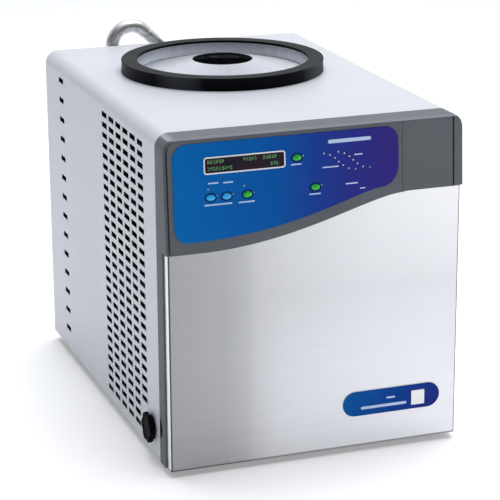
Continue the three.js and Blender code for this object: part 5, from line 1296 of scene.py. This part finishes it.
def print_bars():
    bars = []
    for left, right, z, height in PRINT_BARS:
        middle = on_face(z + PRINT_RISE)
        bars.append(deepened(rectangle(left, right, middle - height / 2, middle + height / 2,
                                       height * 0.45, 4), -0.42, -0.5))
    return piece("print_bars", together(*bars), PALE_PRINT, matrix=ON_FACE,
                 level=False)


# ---------------------------------------------------------------- stainless front panel

PANEL_FRONT = -33.0
BADGE_RIGHT = HALF - 23.5
BADGE_LEFT = BADGE_RIGHT - 122.8
BADGE_Z = 60.2
BADGE_HALF = 15.5
RIM_FACE = PANEL_FRONT - 0.5
BADGE_FACE = PANEL_FRONT - 1.0
TILE_FACE = PANEL_FRONT - 1.5
TILE = Vector((BADGE_RIGHT - 28, 0, BADGE_Z - 1.3))
TILE_HALF = (8.3, 8.9)


def capsule(inset):
    """The badge's outline with round ends, a little smaller by its inset."""
    half = BADGE_HALF - inset
    return rectangle(BADGE_LEFT + inset, BADGE_RIGHT - inset, BADGE_Z - half, BADGE_Z + half,
                     half - 0.02, 16)


def badge():
    """A blue capsule with a pale rim, a white tile and two plain bars."""
    rim = deepened(capsule(0), PANEL_FRONT, RIM_FACE)
    eased(rim, lies_at(1, RIM_FACE), 0.25, 2)
    piece("badge_rim", rim, PALE_PLASTIC)
    plate = deepened(capsule(0.4), PANEL_FRONT - 0.2, BADGE_FACE)
    eased(plate, lies_at(1, BADGE_FACE), 0.3, 3)
    piece("badge_face", plate, BADGE_FILM, ["badge_plate"])
    wide, high = TILE_HALF
    tile = deepened(rectangle(TILE.x - wide, TILE.x + wide, TILE.z - high, TILE.z + high, 0.6, 3),
                    BADGE_FACE + 0.1, TILE_FACE)
    eased(tile, lies_at(1, TILE_FACE), 0.2, 2)
    piece("badge_square", tile, BRIGHT_PLASTIC, ["badge_tile"])
    bars = [rectangle(TILE.x - 72, TILE.x - 14.5, BADGE_Z - 7.6, BADGE_Z - 4.2, 1.5, 4),
            rectangle(TILE.x - 40, TILE.x - 29, BADGE_Z + 2.0, BADGE_Z + 4.2, 1.0, 4)]
    bars = [deepened(bar, BADGE_FACE + 0.02, BADGE_FACE - 0.06) for bar in bars]
    piece("badge_bars", together(*bars), PALE_PRINT, level=False)


# ---------------------------------------------------------------- collector

RING_STEPS = 144
RING_COLLAR = 121.3
RING_OUTER = 126.3
RING_WAIST = 1.2
RING_LIP = 3
RING_CLEAR = 0.02
BAFFLE_RIM = CHAMBER_RADIUS - 0.6
BAFFLE_RIM_Z = GASKET_TOP - 17.5
BAFFLE_HOLE = 36.6
BAFFLE_HOLE_Z = GASKET_TOP - 1.4
BAFFLE_SHEET = 1.2
BAFFLE_FLANGE = 3


def collector():
    """The rubber ring with its slight waist, and the coned baffle with its turned-down hole."""
    foot_z = TOP + RING_CLEAR
    ring = turned([
        (RING_COLLAR, foot_z, 0.3), (RING_OUTER, foot_z, 0.8),
        (RING_OUTER - RING_WAIST, TOP + 8.5, 6), (RING_OUTER, GASKET_TOP, 1.6),
        (CHAMBER_RADIUS, GASKET_TOP, 1.2), (CHAMBER_RADIUS, GASKET_TOP - RING_LIP),
        (RING_COLLAR, GASKET_TOP - RING_LIP)], RING_STEPS, 5)
    piece("gasket_ring", moved(ring, COLLECTOR), GASKET_RUBBER,
          ["chamber_gasket"])
    under = BAFFLE_HOLE + BAFFLE_SHEET
    plate = turned([
        (BAFFLE_HOLE, BAFFLE_HOLE_Z - BAFFLE_FLANGE), (under, BAFFLE_HOLE_Z - BAFFLE_FLANGE),
        (under, BAFFLE_HOLE_Z - BAFFLE_SHEET, 0.6), (BAFFLE_RIM, BAFFLE_RIM_Z - BAFFLE_SHEET),
        (BAFFLE_RIM, BAFFLE_RIM_Z), (BAFFLE_HOLE, BAFFLE_HOLE_Z, 1.1)], RING_STEPS, 4)
    piece("baffle_plate", moved(plate, COLLECTOR), SPUN_STAINLESS,
          ["collector_baffle"])


KNOB_RADIUS = 18
KNOB_THICK = 5.8
KNOB_STAND = 2.6
KNOB_HOLLOW = 2.8
KNOB_LOBES = 6
KNOB_BASE = 14.5
KNOB_STEM = 4.2


def drain_knob():
    """Six lobes for the fingers, a sunk face, and a round base towards the cover."""
    bm = bmesh.new()
    made = bmesh.ops.create_circle(bm, cap_ends=True, segments=72, radius=KNOB_RADIUS,
                                   matrix=ALONG_X)
    for v in made["verts"]:
        turn = math.atan2(v.co.z, v.co.y)
        hollow = KNOB_HOLLOW * abs(math.sin(KNOB_LOBES / 2 * turn)) ** 4
        v.co *= (KNOB_RADIUS - hollow) / KNOB_RADIUS
    grown = bmesh.ops.extrude_face_region(bm, geom=bm.faces[:])["geom"]
    bmesh.ops.translate(bm, verts=verts_of(grown), vec=(-KNOB_THICK, 0, 0))
    bmesh.ops.recalc_face_normals(bm, faces=bm.faces)
    eased(bm, is_sharp(60), 1.1, 3)
    face = [f for f in bm.faces if f.normal.x < -0.99]
    bmesh.ops.inset_region(bm, faces=face, thickness=3.2, depth=0)
    bmesh.ops.inset_region(bm, faces=face, thickness=0.8, depth=-0.8)
    moved(bm, (-KNOB_STAND, 0, 0))
    base = turned([(KNOB_STEM, 0.6), (KNOB_BASE, 0.6), (KNOB_BASE, 3.0), (KNOB_STEM, 3.0)], 48)
    whole = together(bm, moved(base, turn=AGAINST_X))
    return piece("knob", moved(whole, KNOB), KNOB_PLASTIC, ["drain_knob"],
                 "drain_knob")


# ---------------------------------------------------------------- vacuum line

LEG_X = -84.0
LEG_LENGTH = 93.0
LINE_Y = DEPTH + 14
ARC_Z = TOP - 3
BEND = 25.3
PIPE_RADIUS = 8.75
PIPE_SIDES = 40
SLOPE_DEGREES = 42
SLOPE = math.radians(SLOPE_DEGREES)
NECK_END = 6.0
SLEEVE_GAP = 0.3
SLEEVE_RADIUS = 8.1
SLEEVE_LENGTH = 17.0


def vacuum_line():
    """The gooseneck over the cabinet's rear edge, and the sleeve at its end."""
    pivot = (LEG_X + BEND, LINE_Y, ARC_Z)
    neck = pipe(PIPE_RADIUS, (LEG_X, LINE_Y, ARC_Z - LEG_LENGTH), (0, 0, 1),
                [LEG_LENGTH, (pivot, (0, 1, 0), 90 + SLOPE_DEGREES, PIPE_SIDES), NECK_END],
                PIPE_SIDES)
    piece("gooseneck_pipe", neck, DULL_PIPE, ["vacuum_gooseneck"], smooth=50)
    down = Vector((math.cos(SLOPE), 0, -math.sin(SLOPE)))
    arc_end = Vector(pivot) + Vector((math.sin(SLOPE), 0, math.cos(SLOPE))) * BEND
    start = arc_end + down * (NECK_END + SLEEVE_GAP)
    sleeve = pipe(SLEEVE_RADIUS, start, down, [SLEEVE_LENGTH], PIPE_SIDES, 1.2)
    piece("sleeve_pipe", sleeve, DULL_PIPE, ["gooseneck_sleeve"], smooth=50)


# ---------------------------------------------------------------- nodes carried over

CARRIED_FINISHES = {
    "white_paint": (WHITE, ["rear_panel"]),
    "stainless": (STAINLESS, ["front_panel"]),
    "chamber": (CHAMBER_STEEL, ["collector_chamber"]),
    "coil": (COIL_STEEL, ["collector_coil"]),
    "tube": (PIPE_STAINLESS, ["vacuum_port_tube", "pump_connection"]),
    "galvanised": (GALVANISED, ["gooseneck_bracket", "fan_bracket", "power_supply"]),
    "copper": (COPPER, ["discharge_line", "liquid_line", "suction_line", "filter_drier",
                        "condenser_tube", "drier_inlet_line"]),
    "fins": (DARK_FINS, ["condenser_core"]),
    "aluminium": (ALUMINIUM, ["start_capacitor"]),
    "black_paint": (BLACK_PAINT, ["compressor", "fan_shroud", "fan_motor"]),
    "black_plastic": (BLACK_PLASTIC, ["vacuum_sensor", "fan", "power_inlet",
                                      "power_switch_housing", "power_rocker", "display_module"]),
    "foam": (FOAM, ["chamber_insulation"]),
    "pale": (PALE_PLASTIC, ["drain_tube"]),
    "valve": (BRASS, ["drain_valve"]),
    "pan": (SHADE_PAINTED_GALVANISED, ["base_pan"]),
    "rubber": (BLACK_RUBBER, ["compressor_mount_front_left", "compressor_mount_front_right",
                              "compressor_mount_rear_left", "compressor_mount_rear_right"]),
    "board": (BOARD, ["control_board"]),
}


def dress_carried_nodes():
    """Every node of the model that stays gets its own finish."""
    named = {node: finish for finish, group in CARRIED_FINISHES.values() for node in group}
    for name, node in nodes.items():
        node.data.materials.clear()
        node.data.materials.append(named.get(name, BLACK_RUBBER))


# ---------------------------------------------------------------- assembly

set_camera()
set_stage()
cover_sheet()
outlet_screen()
louvre_screen()
rear_fixings()
for corner in ("front_left", "front_right", "rear_left", "rear_right"):
    foot("rubber_foot_" + corner, "foot_" + corner)
front_moulding()
fascia_plate()
control_film()
display_parts()
character_rows()
for button in BUTTONS:
    push_button(button)
button_wells()
button_glints()
lamps()
print_bars()
badge()
collector()
drain_knob()
vacuum_line()
dress_carried_nodes()
